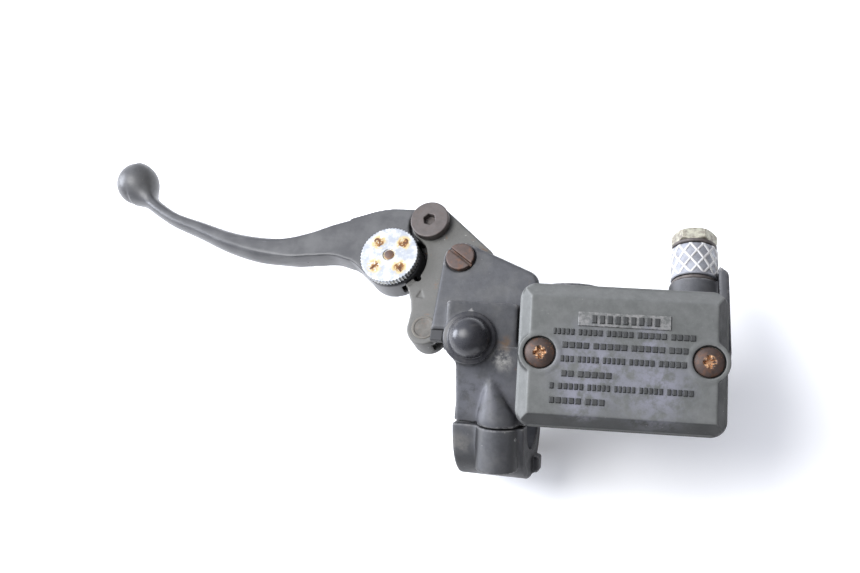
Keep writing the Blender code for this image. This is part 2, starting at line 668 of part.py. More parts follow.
def coil_points(x0, x1, radius, turns, steps=12):
    """A compression coil's centreline, with a closed turn at each end."""
    count = int(turns * steps)
    points = []
    for i in range(count + 1):
        share = i / count
        angle = 2 * pi * turns * share
        ease = share - 0.35 * sin(2 * pi * share) / (2 * pi)
        points.append((x0 + (x1 - x0) * ease, BARREL_Y + radius * cos(angle),
                       MID_Z + radius * sin(angle)))
    return points


def return_spring():
    wire = 0.65
    points = coil_points(32.6, BORE_END_X - 1.2, 4.9, 7.0, 10)
    spring = tube("return_spring", points, [wire] * len(points), sides_resolution=0)
    return part(spring, (0.5, 0.5, 0.52), 0.3, 1.0, origin=(32.6, BARREL_Y, MID_Z))


def cylinder_small_parts():
    seat = ring("spring_seat", (29.2, BARREL_Y, MID_Z), (1, 0, 0), 3.8, 5.8, 1.6, sides=16)
    part(seat, (0.5, 0.5, 0.5), 0.4, 1.0, origin=(29.2, BARREL_Y, MID_Z))
    washer = ring("stop_washer", (-6.4, BARREL_Y, MID_Z), (1, 0, 0), 5.3, PISTON_RADIUS, 1.0,
                  sides=20)
    part(washer, (0.5, 0.5, 0.5), 0.4, 1.0)
    clip = ring("circlip", (-8.0, BARREL_Y, MID_Z), (1, 0, 0), 5.3, BORE_RADIUS + 0.7, 1.0,
                sides=20)
    cut(clip, box("circlip_gap", (-10.0, BARREL_Y - 10.0, MID_Z - 2.0),
                  (-5.0, BARREL_Y, MID_Z + 2.0)))
    part(clip, (0.3, 0.3, 0.3), 0.4, 1.0)


def dust_boot():
    """A bellows from the barrel's mouth down to the pushrod."""
    start = MOUTH_X - GAP
    pitch = 3.4
    folds = 3
    outer = [(6.6, 0.0)]
    inner = [(5.7, 0.0)]
    for i in range(folds):
        outer += [(6.6, -pitch * i - 1.2), (5.5, -pitch * (i + 0.5) - 0.6)]
        inner += [(5.8, -pitch * i - 1.2), (4.7, -pitch * (i + 0.5) - 0.6)]
    tip = -pitch * folds - 1.0
    outer += [(4.6, tip + 0.4), (3.9, tip)]
    inner += [(3.9, tip + 1.0), (3.1, tip)]
    boot = turned("dust_boot", outer + inner[::-1], (start, BARREL_Y, MID_Z), (1, 0, 0),
                  sides=20)
    return part(boot, (0.03, 0.03, 0.03), 0.65, origin=(start, BARREL_Y, MID_Z))


def pushrod():
    """An eye on the knocker's pin, a bar and a ball in the piston's seat."""
    seat_y = BARREL_Y
    eye = upright("pushrod", PUSH_PIN, 5.2, MID_Z - 2.4, MID_Z + 2.4, sides=16)
    join(eye, rod("pushrod_bar", (PUSH_PIN[0] + 3.0, PUSH_PIN[1] - 0.1, MID_Z),
                  (SEAT_X - 0.5, seat_y, MID_Z), 2.0, sides=16))
    join(eye, ball("pushrod_ball", (SEAT_X, seat_y, MID_Z), 2.7, 12, 8))
    cut(eye, upright("pushrod_eye", PUSH_PIN, 3.9, 0.0, 40.0, sides=16))
    return part(eye, (0.5, 0.5, 0.5), 0.4, 1.0, origin=(*PUSH_PIN, MID_Z))


# ---------------------------------------------------------------- lever

def knocker_outline():
    slope = 49.6
    tip = (-9.3, 54.9)
    return (
        arc(BLADE_PIN, 8.0, slope, 245, 12)
        + arc(DIAL, 14.0, 27, -54, 8)
        + [(-34.9, 35.6), (-34.1, 31.5)]
        + arc(PUSH_PIN, 6.6, 165, 355, 10)
        + [(-19.2, 32.5), (-15.0, 41.0)]
        + arc(PIVOT, 8.0, -60, -5, 4)
        + arc(tip, 3.5, -60, slope, 4))


def knocker():
    arm = plate("knocker", knocker_outline(), KNOCKER_BOTTOM, KNOCKER_TOP)
    half_slot = 2.7
    cut(arm, upright("blade_slot", BLADE_PIN, 9.4, MID_Z - half_slot, MID_Z + half_slot))
    cut(arm, upright("pushrod_slot", PUSH_PIN, 5.6, MID_Z - half_slot, MID_Z + half_slot))
    cut(arm, box("pushrod_mouth", (PUSH_PIN[0] + 1.0, PUSH_PIN[1] - 5.4, MID_Z - half_slot),
                 (PUSH_PIN[0] + 13.0, PUSH_PIN[1] + 5.4, MID_Z + half_slot)))
    join(arm, plate("web", arc(DIAL, 12.2, 24, -51) + arc(DIAL, 16.3, -50, 23),
                    KNOCKER_BOTTOM + 0.1, MID_Z - half_slot - 0.1))
    join(arm, upright("tang", TANG, TANG_RADIUS, 0.0, KNOCKER_BOTTOM + 1.0, sides=12))
    direction = (cos(PAD_ANGLE), sin(PAD_ANGLE))
    face = CAM_RADIUS + GAP
    start = (DIAL[0] + face * direction[0], DIAL[1] + face * direction[1], MID_Z)
    end = (DIAL[0] + 17.0 * direction[0], DIAL[1] + 17.0 * direction[1], MID_Z)
    join(arm, rod("stop_pad", start, end, 1.9, sides=16))
    cut(arm, upright("hub_hole", PIVOT, 6.3, 0.0, 40.0, sides=20))
    cut(arm, upright("blade_pin_hole", BLADE_PIN, 3.3, 0.0, 40.0, sides=20))
    cut(arm, upright("push_pin_hole", PUSH_PIN, 3.9, 0.0, 40.0, sides=16))
    return part(arm, (0.11, 0.11, 0.105), 0.55, origin=(*PIVOT, MID_Z))


def pivot_pieces():
    bush = ring("pivot_bush", (*PIVOT, KNOCKER_BOTTOM), (0, 0, 1), 4.3, 6.0,
                KNOCKER_TOP - KNOCKER_BOTTOM, sides=20)
    part(bush, (0.5, 0.38, 0.2), 0.4, 1.0, origin=(*PIVOT, MID_Z))
    seat = EAR_TOP - 1.0 + GAP
    screw = upright("pivot_screw", PIVOT, 5.4, seat, seat + 2.2, sides=20)
    join(screw, upright("pivot_shank", PIVOT, 4.0, -1.5, seat + 1.0, sides=16))
    slot = box("pivot_slot", (-8.0, -0.6, seat + 1.3), (8.0, 0.6, seat + 5.0))
    slot.data.transform(Matrix.Translation(Vector((*PIVOT, 0)) * MM)
                        @ Matrix.Rotation(radians(-35), 4, "Z"))
    cut(screw, slot)
    part(screw, (0.20, 0.12, 0.10), 0.5, 0.7)
    nut = hexagon("pivot_nut", (*PIVOT, -0.3), (*PIVOT, EAR_BOTTOM - GAP), 13.0)
    cut(nut, upright("pivot_nut_thread", PIVOT, 4.3, -5.0, 20.0, sides=16))
    part(nut, (0.3, 0.3, 0.3), 0.4, 0.9)


def pushrod_pin():
    pin = upright("pushrod_pin", PUSH_PIN, 3.6, KNOCKER_BOTTOM, KNOCKER_TOP + 0.3, sides=20)
    return part(pin, (0.28, 0.26, 0.22), 0.5, 0.8, origin=(*PIVOT, MID_Z))


def blade_bolt():
    seat = KNOCKER_TOP + GAP
    bolt = upright("blade_bolt", BLADE_PIN, 7.8, seat, seat + 4.0, sides=36)
    join(bolt, upright("blade_shank", BLADE_PIN, 3.0, 4.0, seat + 1.0, sides=16))
    cut(bolt, hexagon("blade_socket", (*BLADE_PIN, seat + 1.5), (*BLADE_PIN, seat + 8.0), 5.0))
    part(bolt, (0.20, 0.17, 0.16), 0.45, 0.6, origin=(*BLADE_PIN, MID_Z))
    nut = hexagon("blade_nut", (*BLADE_PIN, 4.8), (*BLADE_PIN, KNOCKER_BOTTOM - GAP), 10.0)
    cut(nut, upright("blade_nut_thread", BLADE_PIN, 3.3, 0.0, 20.0, sides=20))
    part(nut, (0.3, 0.3, 0.3), 0.4, 0.9, origin=(*BLADE_PIN, MID_Z))


def blade_outline():
    """The blade's root: a shoulder round the bolt, the adjuster's lobe and the waist."""
    upper = [(-48.0, 74.3), (-55.0, 73.1), (-66.0, 69.2), (-78.0, 63.9), (-87.0, 60.4)]
    lower = [(-87.0, 51.4), (-79.5, 52.2), (-71.0, 52.7), (-63.0, 50.8)]
    return (
        upper[::-1]
        + arc(BLADE_PIN, 9.2, 138, 236, 8)
        + arc(DIAL, 11.4, 58, -155, 12)
        + lower[::-1])


def lever_blade():
    half = 5.2
    blade = plate("lever_blade", blade_outline(), MID_Z - half, MID_Z + half)
    bone = [(-80.0, 58.0, 4.6), (-88.0, 56.0, 4.8), (-96.0, 55.4, 4.9), (-104.0, 56.0, 4.7),
            (-116.0, 58.2, 4.3), (-132.0, 63.3, 3.6), (-150.0, 70.2, 3.1), (-160.0, 76.0, 3.1),
            (-168.0, 83.0, 3.4)]
    finger = tube("finger", [(x, y, MID_Z / 1.3) for x, y, _ in bone], [r for _, _, r in bone], 2)
    finger.data.transform(Matrix.Diagonal((1.0, 1.0, 1.3, 1.0)))
    join(blade, finger, ball("finger_ball", (*BALL, MID_Z), BALL_RADIUS))
    tongue = plate("tongue", arc(BLADE_PIN, 7.0, -70, 130, 9)
                   + [(-44.0, 71.0), (-44.0, 61.5)], MID_Z - 2.4, MID_Z + 2.4)
    join(blade, tongue)
    cut(blade, upright("tongue_hole", BLADE_PIN, 3.3, 0.0, 40.0, sides=20))
    cut(blade, upright("axle_hole", DIAL, 3.3, 0.0, 40.0, sides=20))
    room = CAM_HALF_THICKNESS + GAP
    cut(blade, upright("cam_room", DIAL, CAM_RADIUS + CAM_RISE + 0.5, MID_Z - room,
                       MID_Z + room, sides=20))
    mouth = box("cam_mouth", (2.0, -5.0, MID_Z - room), (20.0, 5.0, MID_Z + room))
    mouth.data.transform(Matrix.Translation(Vector((*DIAL, 0)) * MM)
                         @ Matrix.Rotation(PAD_ANGLE, 4, "Z"))
    cut(blade, mouth)
    return part(blade, (0.045, 0.046, 0.05), 0.3, origin=(*BLADE_PIN, MID_Z))


def cam_outline():
    """A rising spiral: each quarter turn moves the lever away from the handlebar."""
    steps = 36
    drop = radians(45)
    points = []
    for i in range(steps):
        turn = 2 * pi * i / steps
        rise = min(turn / CAM_TRAVEL, max(1 - (turn - CAM_TRAVEL) / drop, 0.0))
        radius = CAM_RADIUS + CAM_RISE * rise
        angle = PAD_ANGLE - turn
        points.append((DIAL[0] + radius * cos(angle), DIAL[1] + radius * sin(angle)))
    return points


def adjuster():
    dial = turned(
        "adjuster_dial",
        [(0.0, DIAL_TOP), (10.8, DIAL_TOP), (DIAL_RADIUS, DIAL_TOP - 0.6),
         (DIAL_RADIUS, DIAL_BOTTOM + 0.4), (11.0, DIAL_BOTTOM), (3.0, DIAL_BOTTOM),
         (3.0, MID_Z - 5.5), (2.5, MID_Z - 5.6), (2.5, MID_Z - 6.9), (3.0, MID_Z - 7.0),
         (2.8, MID_Z - 7.7), (0.0, MID_Z - 7.7)],
        (*DIAL, 0), (0, 0, 1), sides=32)
    part(dial, (0.72, 0.71, 0.68), 0.35, 0.9, origin=(*DIAL, MID_Z))
    cam = plate("adjuster_cam", cam_outline(), MID_Z - CAM_HALF_THICKNESS,
                MID_Z + CAM_HALF_THICKNESS)
    cut(cam, upright("cam_hole", DIAL, 3.3, 0.0, 40.0, sides=20))
    part(cam, (0.4, 0.4, 0.4), 0.4, 1.0, origin=(*DIAL, MID_Z))
    washer = ring("dial_spring_washer", (*DIAL, MID_Z + 5.5), (0, 0, 1), 3.3, 5.6, 0.8, sides=16)
    part(washer, (0.4, 0.4, 0.4), 0.4, 1.0, origin=(*DIAL, MID_Z))
    clip = ring("dial_clip", (*DIAL, MID_Z - 6.6), (0, 0, 1), 2.8, 4.8, 0.7, sides=16)
    cut(clip, box("dial_clip_gap", (DIAL[0], DIAL[1] - 1.8, 0.0),
                  (DIAL[0] + 8.0, DIAL[1] + 1.8, MID_Z)))
    part(clip, (0.3, 0.3, 0.3), 0.4, 1.0, origin=(*DIAL, MID_Z))


# ---------------------------------------------------------------- lever switch

def lever_switch():
    """A small switch under the lower ear. The knocker's tang presses its plunger."""
    top = EAR_BOTTOM - GAP
    bottom = top - 6.5
    housing = box("lever_switch", (-16.5, 27.5, bottom), (0.0, 41.0, top), round_edges=0.6)
    cut(housing, upright("switch_screw_hole", SWITCH_SCREW, 1.8, -20.0, 20.0, sides=10))
    cut(housing, rod("switch_plunger_hole", (-20.0, PLUNGER_Y, SWITCH_Z),
                     (-7.5, PLUNGER_Y, SWITCH_Z), 1.6, sides=10))
    part(housing, (0.03, 0.03, 0.03), 0.5)
    for label, y in (("rear", 34.0), ("front", 38.5)):
        terminal = box(f"switch_terminal_{label}", (GAP, y - 0.4, SWITCH_Z - 1.5),
                       (6.5, y + 0.4, SWITCH_Z + 1.5))
        part(terminal, (0.6, 0.55, 0.4), 0.3, 1.0)
    head = bottom - GAP
    screw = upright("switch_screw", SWITCH_SCREW, 2.9, head - 1.9, head, sides=16)
    join(screw, upright("switch_screw_shank", SWITCH_SCREW, 1.2, head - 0.5, 9.0, sides=8))
    part(screw, (0.4, 0.38, 0.33), 0.4, 0.9)
    tip = TANG[0] + TANG_RADIUS + GAP
    plunger = rod("switch_plunger", (tip, PLUNGER_Y, SWITCH_Z), (tip + 1.0, PLUNGER_Y, SWITCH_Z),
                  2.8, sides=12)
    join(plunger, rod("plunger_stem", (tip + 0.5, PLUNGER_Y, SWITCH_Z),
                      (-13.5, PLUNGER_Y, SWITCH_Z), 1.3, sides=10))
    part(plunger, (0.7, 0.7, 0.68), 0.4, origin=(tip, PLUNGER_Y, SWITCH_Z))


# ---------------------------------------------------------------- assembly

def build():
    global PARTS, CUTTERS
    empty_the_scene()
    PARTS = new_collection("brake_master_cylinder")
    CUTTERS = new_collection("cutters")
    add_frame("reservoir", RESERVOIR_TILT)
    add_frame("clamp", (CLAMP_PITCH, 0.0, 0.0))
    master_cylinder_body()
    clamp_cap()
    clamp_bolts()
    mirror_hole_plug()
    reservoir_lid()
    lid_screws()
    diaphragm()
    diaphragm_plate()
    port_guard()
    sight_window()
    outlet()
    piston()
    cup("primary_cup", 23.3, 3.8, 4.4)
    cup("secondary_cup", -1.2, 4.5, 3.9)
    return_spring()
    cylinder_small_parts()
    dust_boot()
    pushrod()
    knocker()
    pivot_pieces()
    pushrod_pin()
    blade_bolt()
    lever_blade()
    adjuster()
    lever_switch()


build()
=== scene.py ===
"""The looks of a worn motorcycle brake master cylinder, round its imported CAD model.

Cast and forged pieces are signed distances in millimetres, sampled on a grid and meshed. Round
pieces are lathed. Every finish is a node material. Sizes repeat the CAD source's driving values.
"""

import functools
from math import atan2, cos, hypot, pi, radians, sin

import bmesh
import bpy
import numpy as np
from mathutils import Euler, Matrix, Vector


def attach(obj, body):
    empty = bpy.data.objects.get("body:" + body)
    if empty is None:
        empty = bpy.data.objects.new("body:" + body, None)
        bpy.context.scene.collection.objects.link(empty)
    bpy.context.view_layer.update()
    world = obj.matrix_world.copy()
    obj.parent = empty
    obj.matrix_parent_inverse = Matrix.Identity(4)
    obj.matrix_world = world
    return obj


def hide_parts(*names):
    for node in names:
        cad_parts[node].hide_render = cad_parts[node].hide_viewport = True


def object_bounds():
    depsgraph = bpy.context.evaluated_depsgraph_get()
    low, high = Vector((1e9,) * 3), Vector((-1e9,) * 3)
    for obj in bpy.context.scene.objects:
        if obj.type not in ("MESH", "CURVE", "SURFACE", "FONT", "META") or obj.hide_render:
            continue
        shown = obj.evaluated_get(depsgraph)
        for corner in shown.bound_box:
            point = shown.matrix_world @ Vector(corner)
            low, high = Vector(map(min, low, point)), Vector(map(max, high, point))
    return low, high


MM = 0.001

# Handlebar clamp
BAR_RADIUS = 11.15
CLAMP_HALF_WIDTH = 13.0
CLAMP_RING_RADIUS = 14.8
CLAMP_SPLIT = 0.25
CLAMP_PITCH = radians(28)
CLAMP_BOLT_X = 3.5
CLAMP_BOLT_Z = 16.5
UPPER_BOLT = (CLAMP_BOLT_X, CLAMP_BOLT_Z)
LOWER_BOLT = (CLAMP_BOLT_X, -CLAMP_BOLT_Z)
CLAMP_BOLT_HOLE_RADIUS = 2.9
CLAMP_BOSS_RADIUS = 7.5
CLAMP_BOSS_END = 16.8
CLAMP_BACK = 22.0
CLAMP_SHOULDER = 18.0

# Lever plane
MID_Z = 15.0
FORK_HALF_GAP = 6.0
EAR_TOP = 25.0
EAR_BOTTOM = 5.0
EAR_RADIUS = 6.8
GAP = 0.3
KNOCKER_TOP = 20.7
KNOCKER_BOTTOM = 9.3
BLADE_HALF_HEIGHT = 5.2

# Pivots, and the heights that a hole right through the lever plane spans
PIVOT = (-17.0, 52.0)
BLADE_PIN = (-32.0, 68.0)
DIAL = (-45.4, 52.2)
PUSH_PIN = (-28.0, 25.0)
PIVOT_SEAT_Z = EAR_TOP - 1.0
PIVOT_HOLE_RADIUS = 4.3
BLADE_HOLE_RADIUS = 3.3
THROUGH = (0.0, 40.0)
BALL = (-170.0, 85.0, MID_Z)
BALL_RADIUS = 8.9

# Cylinder and outlet
BARREL_Y = 24.0
BARREL_RADIUS = 10.0
BORE_RADIUS = 6.35
MOUTH_X = -9.0
BORE_END_X = 71.0
BARREL_END_X = 78.0
OUTLET_X = 66.8
OUTLET_BOSS_RADIUS = 8.6
OUTLET_FACE_Y = 49.3
BANJO_RADIUS = 4.9
WASHER_THICKNESS = 1.2
SLEEVE_START_Y = OUTLET_FACE_Y + WASHER_THICKNESS + 2 * GAP
SLEEVE_LENGTH = 12.4
SLEEVE_RADIUS = 8.4
HEX_START_Y = SLEEVE_START_Y + SLEEVE_LENGTH + WASHER_THICKNESS + 2 * GAP
HEX_HEIGHT = 5.2
HEX_WIDTH = 14.0

# Reservoir, in its own leaning frame
RESERVOIR_TILT = (radians(13.8), radians(10.4), radians(4.6))
LID_CENTRE = (39.8, 18.9)
LID_SIZE = (68.0, 47.4)
LID_CORNER = 5.5
LID_BASE_Z = 43.2
LID_TOP_Z = 49.2
LID_SCREWS = tuple((LID_CENTRE[0] + offset, LID_CENTRE[1]) for offset in (-27.0, 27.0))
LID_SCREW_SEAT_Z = LID_TOP_Z - 1.6
LID_BOSS_RADIUS = 6.9
TUB_SIZE = (62.0, 42.0)
TUB_WALL = 2.6
TUB_RIM_Z = 41.4
TUB_UNDERSIDE = 13.2
TUB_FLOOR = 16.2
SIGHT = (23.8, 31.2)
SIGHT_RADIUS = 9.2
SIGHT_FACE_Y = 43.8
MIRROR_AXIS = (-11.2, 25.0)
MIRROR_RADIUS = 8.8
MIRROR_TOP_Z = 26.6
MIRROR_HOLE_BOTTOM_Z = 18.6
MIRROR_HOLE_RADIUS = 4.4

# Adjuster and switch
DIAL_RADIUS = 11.5
DIAL_BOTTOM = 21.6
DIAL_TOP = 24.6
DIAL_NUMBERS = ((1, 225), (2, 135), (3, 45), (4, -45))
DIAL_NUMBER_RADIUS = 7.0
CAM_RADIUS = 7.6
PAD_ANGLE = radians(-46)
SWITCH_SCREW = (-4.0, 31.0)
SWITCH_Z = 1.5
TANG = (-26.5, 38.0)
PLUNGER_Y = 37.0

CLAMP_TURN = Matrix.Rotation(CLAMP_PITCH, 3, "X")
RESERVOIR_TURN = Euler(RESERVOIR_TILT).to_matrix()
SQUARE = Matrix.Identity(3)
ALONG_X = Matrix.Rotation(pi / 2, 3, "Y")
ALONG_Y = Matrix.Rotation(-pi / 2, 3, "X")
OUTLET_HUB = (OUTLET_X, 57.0, MID_Z)
OUTLET_LEAN = radians(3.4)
OUTLET_SPIN = Matrix.Rotation(OUTLET_LEAN, 3, "Z")

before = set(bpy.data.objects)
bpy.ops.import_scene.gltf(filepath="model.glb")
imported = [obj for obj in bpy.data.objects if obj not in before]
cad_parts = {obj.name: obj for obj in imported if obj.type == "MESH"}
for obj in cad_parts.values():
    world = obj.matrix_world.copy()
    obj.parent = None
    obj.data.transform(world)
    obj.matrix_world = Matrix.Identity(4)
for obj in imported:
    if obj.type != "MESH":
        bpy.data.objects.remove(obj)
cad_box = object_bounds()


# ---------------- signed distances

class Grid:
    """Sample points between two corners. Its axes are the part's, or a turned frame's."""

    def __init__(self, low, high, step):
        self.low = np.array(low, np.float32)
        self.step = step
        ranges = [np.arange(a, b + step, step, dtype=np.float32) for a, b in zip(low, high)]
        self.axes = np.meshgrid(*ranges, indexing="ij", sparse=True)

    def turned(self, turn):
        """The same points, told in a frame that is turned about the shared origin."""
        told = []
        for i in range(3):
            terms = [turn[k][i] * self.axes[k] for k in range(3) if abs(turn[k][i]) > 1e-9]
            told.append(functools.reduce(np.add, terms))
        return told


def upright_grid(centre, reach, low, high, step):
    return Grid((centre[0] - reach, centre[1] - reach, low),
                (centre[0] + reach, centre[1] + reach, high), step)


def between(value, low, high):
    return np.abs(value - (low + high) / 2) - (high - low) / 2


def rounded(gaps, soft=0.0):
    """The shape inside all of these signed gaps, with its meeting edges rounded."""
    gaps = [gap + soft for gap in gaps]
    outside = np.sqrt(functools.reduce(np.add, [np.maximum(gap, 0) ** 2 for gap in gaps]))
    return outside + np.minimum(functools.reduce(np.maximum, gaps), 0) - soft


def rod(p, axis, centre, radius, low, high, soft=0.0):
    u, v = [p[k] for k in range(3) if k != axis]
    return rounded([np.hypot(u - centre[0], v - centre[1]) - radius,
                    between(p[axis], low, high)], soft)


def box(p, low, high, soft=0.0):
    return rounded([between(p[k], low[k], high[k]) for k in range(3)], soft)


def ball(p, centre, radius):
    squares = [(p[k] - centre[k]) ** 2 for k in range(3)]
    return np.sqrt(functools.reduce(np.add, squares)) - radius


def outline_gap(u, v, outline):
    """Signed distance to a closed outline in a plane."""
    nearest = np.float32(1e9)
    inside = False
    for (ax, ay), (bx, by) in zip(outline, outline[1:] + outline[:1]):
        ex, ey = bx - ax, by - ay
        if hypot(ex, ey) < 1e-6:
            continue
        wx, wy = u - ax, v - ay
        share = np.clip((wx * ex + wy * ey) / (ex * ex + ey * ey), 0, 1)
        nearest = np.minimum(nearest, (wx - ex * share) ** 2 + (wy - ey * share) ** 2)
        if ey:
            crosses = ((ay > v) != (by > v)) & (u < ex * (v - ay) / ey + ax)
            inside = inside ^ crosses
    return np.where(inside, -1, 1) * np.sqrt(nearest)


def slab(p, axis, outline, low, high, soft=0.0):
    u, v = [p[k] for k in range(3) if k != axis]
    return rounded([outline_gap(u, v, outline), between(p[axis], low, high)], soft)


def rectangle_gap(p, centre, size, corner):
    u = between(p[0], centre[0] - size[0] / 2, centre[0] + size[0] / 2)
    v = between(p[1], centre[1] - size[1] / 2, centre[1] + size[1] / 2)
    return rounded([u, v], corner)


def tray(p, size, corner, low, high, soft=0.0):
    """A rounded rectangle round the lid's centre, between two heights."""
    return rounded([rectangle_gap(p, LID_CENTRE, size, corner), between(p[2], low, high)], soft)


def hexagon(p, axis, centre, width, low, high, soft=0.0, turn=0.0):
    u, v = [p[k] for k in range(3) if k != axis]
    flats = [np.abs((u - centre[0]) * cos(turn + i * pi / 3)
                    + (v - centre[1]) * sin(turn + i * pi / 3)) - width / 2
             for i in range(3)]
    return rounded([functools.reduce(np.maximum, flats), between(p[axis], low, high)], soft)


def oval_gap(u, v, half_u, half_v):
    """Signed distance to an oval, true close to its edge."""
    share = np.hypot(u / half_u, v / half_v)
    steep = np.hypot(u / half_u ** 2, v / half_v ** 2)
    return (share - 1) * share / np.maximum(steep, 1e-3)


def along_across(p, centre, turn):
    """How far points lie from a centre, along and across a direction in the first two axes."""
    return ((p[0] - centre[0]) * cos(turn) + (p[1] - centre[1]) * sin(turn),
            (p[1] - centre[1]) * cos(turn) - (p[0] - centre[0]) * sin(turn))


def join(a, b, blend=0.0):
    """Either shape, with a fillet about as wide as blend where they meet."""
    if not blend:
        return np.minimum(a, b)
    near = np.maximum(blend - np.abs(a - b), 0)
    return np.minimum(a, b) - near * near / (4 * blend)


def cut(a, b, blend=0.0):
    return -join(-a, b, blend)


def arc(centre, radius, start, end, steps=12):
    angles = [radians(start + (end - start) * i / steps) for i in range(steps + 1)]
    return [(centre[0] + radius * cos(a), centre[1] + radius * sin(a)) for a in angles]


def flow(x, knots):
    """A smooth curve through (x, value) knots, sampled at x and level beyond its ends."""
    place, value = np.array(sorted(knots), np.float32).T
    slope = np.gradient(value, place)
    i = np.clip(np.searchsorted(place, x) - 1, 0, len(place) - 2)
    run = place[i + 1] - place[i]
    t = np.clip((x - place[i]) / run, 0, 1)
    return ((1 + 2 * t) * (1 - t) ** 2 * value[i] + t * (1 - t) ** 2 * run * slope[i]
            + t * t * (3 - 2 * t) * value[i + 1] - t * t * (1 - t) * run * slope[i + 1])


# ---------------- meshes

UNIT = np.eye(3, dtype=int)
CORNERS = [(i, j, k) for i in (0, 1) for j in (0, 1) for k in (0, 1)]


def corner_values(value, at):
    return {c: value[at[:, 0] + c[0], at[:, 1] + c[1], at[:, 2] + c[2]] for c in CORNERS}


def settle(points, value):
    """Moves points, in grid steps, onto the zero surface along its slope."""
    limit = np.array(value.shape) - 2
    for _ in range(2):
        at = np.clip(points.astype(int), 0, limit)
        part = points - at
        corners = corner_values(value, at)
        height = 0
        slope = np.zeros_like(points)
        for c, corner in corners.items():
            weight = [part[:, k] if c[k] else 1 - part[:, k] for k in range(3)]
            height = height + corner * weight[0] * weight[1] * weight[2]
            for k in range(3):
                others = weight[(k + 1) % 3] * weight[(k + 2) % 3]
                slope[:, k] += corner * others * (1 if c[k] else -1)
        size = np.maximum((slope ** 2).sum(1), 1e-6)
        move = -slope * (height / size)[:, None]
        points = points + np.clip(move, -0.45, 0.45)
    return points


def surface(grid, value):
    """Points in millimetres and quads of the zero surface, one point to each crossed cell."""
    inside = value < 0
    half = [slice(0, -1), slice(1, None)]
    filled = sum(inside[half[i], half[j], half[k]].astype(np.int8) for i, j, k in CORNERS)
    crossed = (filled > 0) & (filled < 8)
    at = np.argwhere(crossed)
    index = np.full(crossed.shape, -1, np.int32)
    index[crossed] = np.arange(len(at))
    corners = corner_values(value, at)
    total = np.zeros((len(at), 3))
    hits = np.zeros(len(at))
    for start in CORNERS:
        for axis in range(3):
            if start[axis]:
                continue
            end = tuple(np.array(start) + UNIT[axis])
            a, b = corners[start], corners[end]
            hit = (a < 0) != (b < 0)
            share = (a[hit] / (a[hit] - b[hit]))[:, None]
            total[hit] += np.array(start) + share * UNIT[axis]
            hits[hit] += 1
    points = settle(at + total / hits[:, None], value)
    quads = []
    for axis in range(3):
        u, v = UNIT[(axis + 1) % 3], UNIT[(axis + 2) % 3]
        near = [slice(1, -1)] * 3
        far = [slice(1, -1)] * 3
        near[axis], far[axis] = slice(1, -2), slice(2, -1)
        first, second = inside[tuple(near)], inside[tuple(far)]
        edge = np.argwhere(first != second) + 1
        cells = (edge - u - v, edge - v, edge, edge - u)
        ring = np.stack([index[tuple(cell.T)] for cell in cells], 1)
        outward = first[first != second]
        quads.append(np.where(outward[:, None], ring, ring[:, ::-1]))
    return grid.low + grid.step * points, np.concatenate(quads)


def add_object(name, points, faces, turn=SQUARE, sharp=None, recalculate=False, at=(0, 0, 0)):
    """A mesh object from millimetre points in a turned frame, set at a point."""
    world = (np.asarray(points, float) @ np.array(turn).T + np.array(at)) * MM
    mesh = bpy.data.meshes.new(name)
    mesh.from_pydata(world.tolist(), [], faces if isinstance(faces, list) else faces.tolist())
    if recalculate:
        bm = bmesh.new()
        bm.from_mesh(mesh)
        bmesh.ops.recalc_face_normals(bm, faces=bm.faces)
        bm.to_mesh(mesh)
        bm.free()
    mesh.shade_smooth()
    if sharp:
        mesh.set_sharp_from_angle(angle=radians(sharp))
    obj = bpy.data.objects.new(name, mesh)
    bpy.context.scene.collection.objects.link(obj)
    return obj


def piece(obj, body, slot, *nodes):
    """Puts an object on a CAD body, in its slot's finish, in place of CAD nodes."""
    obj.data.materials.clear()
    obj.data.materials.append(FINISHES[slot])
    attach(obj, body)
    if nodes:
        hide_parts(*nodes)
    return obj


def solid_piece(name, grid, shape, body, slot, *nodes, turn=SQUARE, at=(0, 0, 0)):
    """Meshes a signed distance in a turned frame and puts it on a CAD body."""
    piece(add_object(name, *surface(grid, shape), turn=turn, at=at), body, slot, *nodes)


def lathe(name, profile, at, turn, sharp=32):
    """Turns a (radius, height) profile round the third axis of a turned frame, set at a point."""
    segments = 72
    points = []
    rings = []
    for radius, height in profile:
        if radius < 1e-6:
            rings.append([len(points)] * segments)
            points.append((0, 0, height))
            continue
        rings.append(list(range(len(points), len(points) + segments)))
        points += [(radius * cos(2 * pi * i / segments), radius * sin(2 * pi * i / segments), height)
                   for i in range(segments)]
    faces = []
    closed = profile[0][0] > 1e-6 or profile[-1][0] > 1e-6
    pairs = list(zip(rings, rings[1:])) + ([(rings[-1], rings[0])] if closed else [])
    for below, above in pairs:
        for i in range(segments):
            j = (i + 1) % segments
            corners = dict.fromkeys((below[i], below[j], above[j], above[i]))
            if len(corners) > 2:
                faces.append(tuple(corners))
    moved = np.array(points) @ np.array(turn).T + np.array(at)
    return add_object(name, moved, faces, sharp=sharp, recalculate=True)


def eased(profile, width=0.3):
    """A profile with every corner cut twice, so that its edges catch the light."""
    result = []
    for i, (r, h) in enumerate(profile):
        if r < 1e-6:
            result.append((r, h))
            continue
        for other in (profile[i - 1], profile[(i + 1) % len(profile)]):
            length = hypot(other[0] - r, other[1] - h)
            share = min(width / length, 0.4) if length else 0
            result.append((r + (other[0] - r) * share, h + (other[1] - h) * share))
    return result


# ---------------- finishes

FINISHES = {}
SOCKETS = {
    "colour": "Base Color", "roughness": "Roughness", "metallic": "Metallic",
    "specular": "Specular IOR Level", "bump": "Normal", "glow": "Emission Strength",
    "glow_colour": "Emission Color", "transmission": "Transmission Weight", "ior": "IOR"}


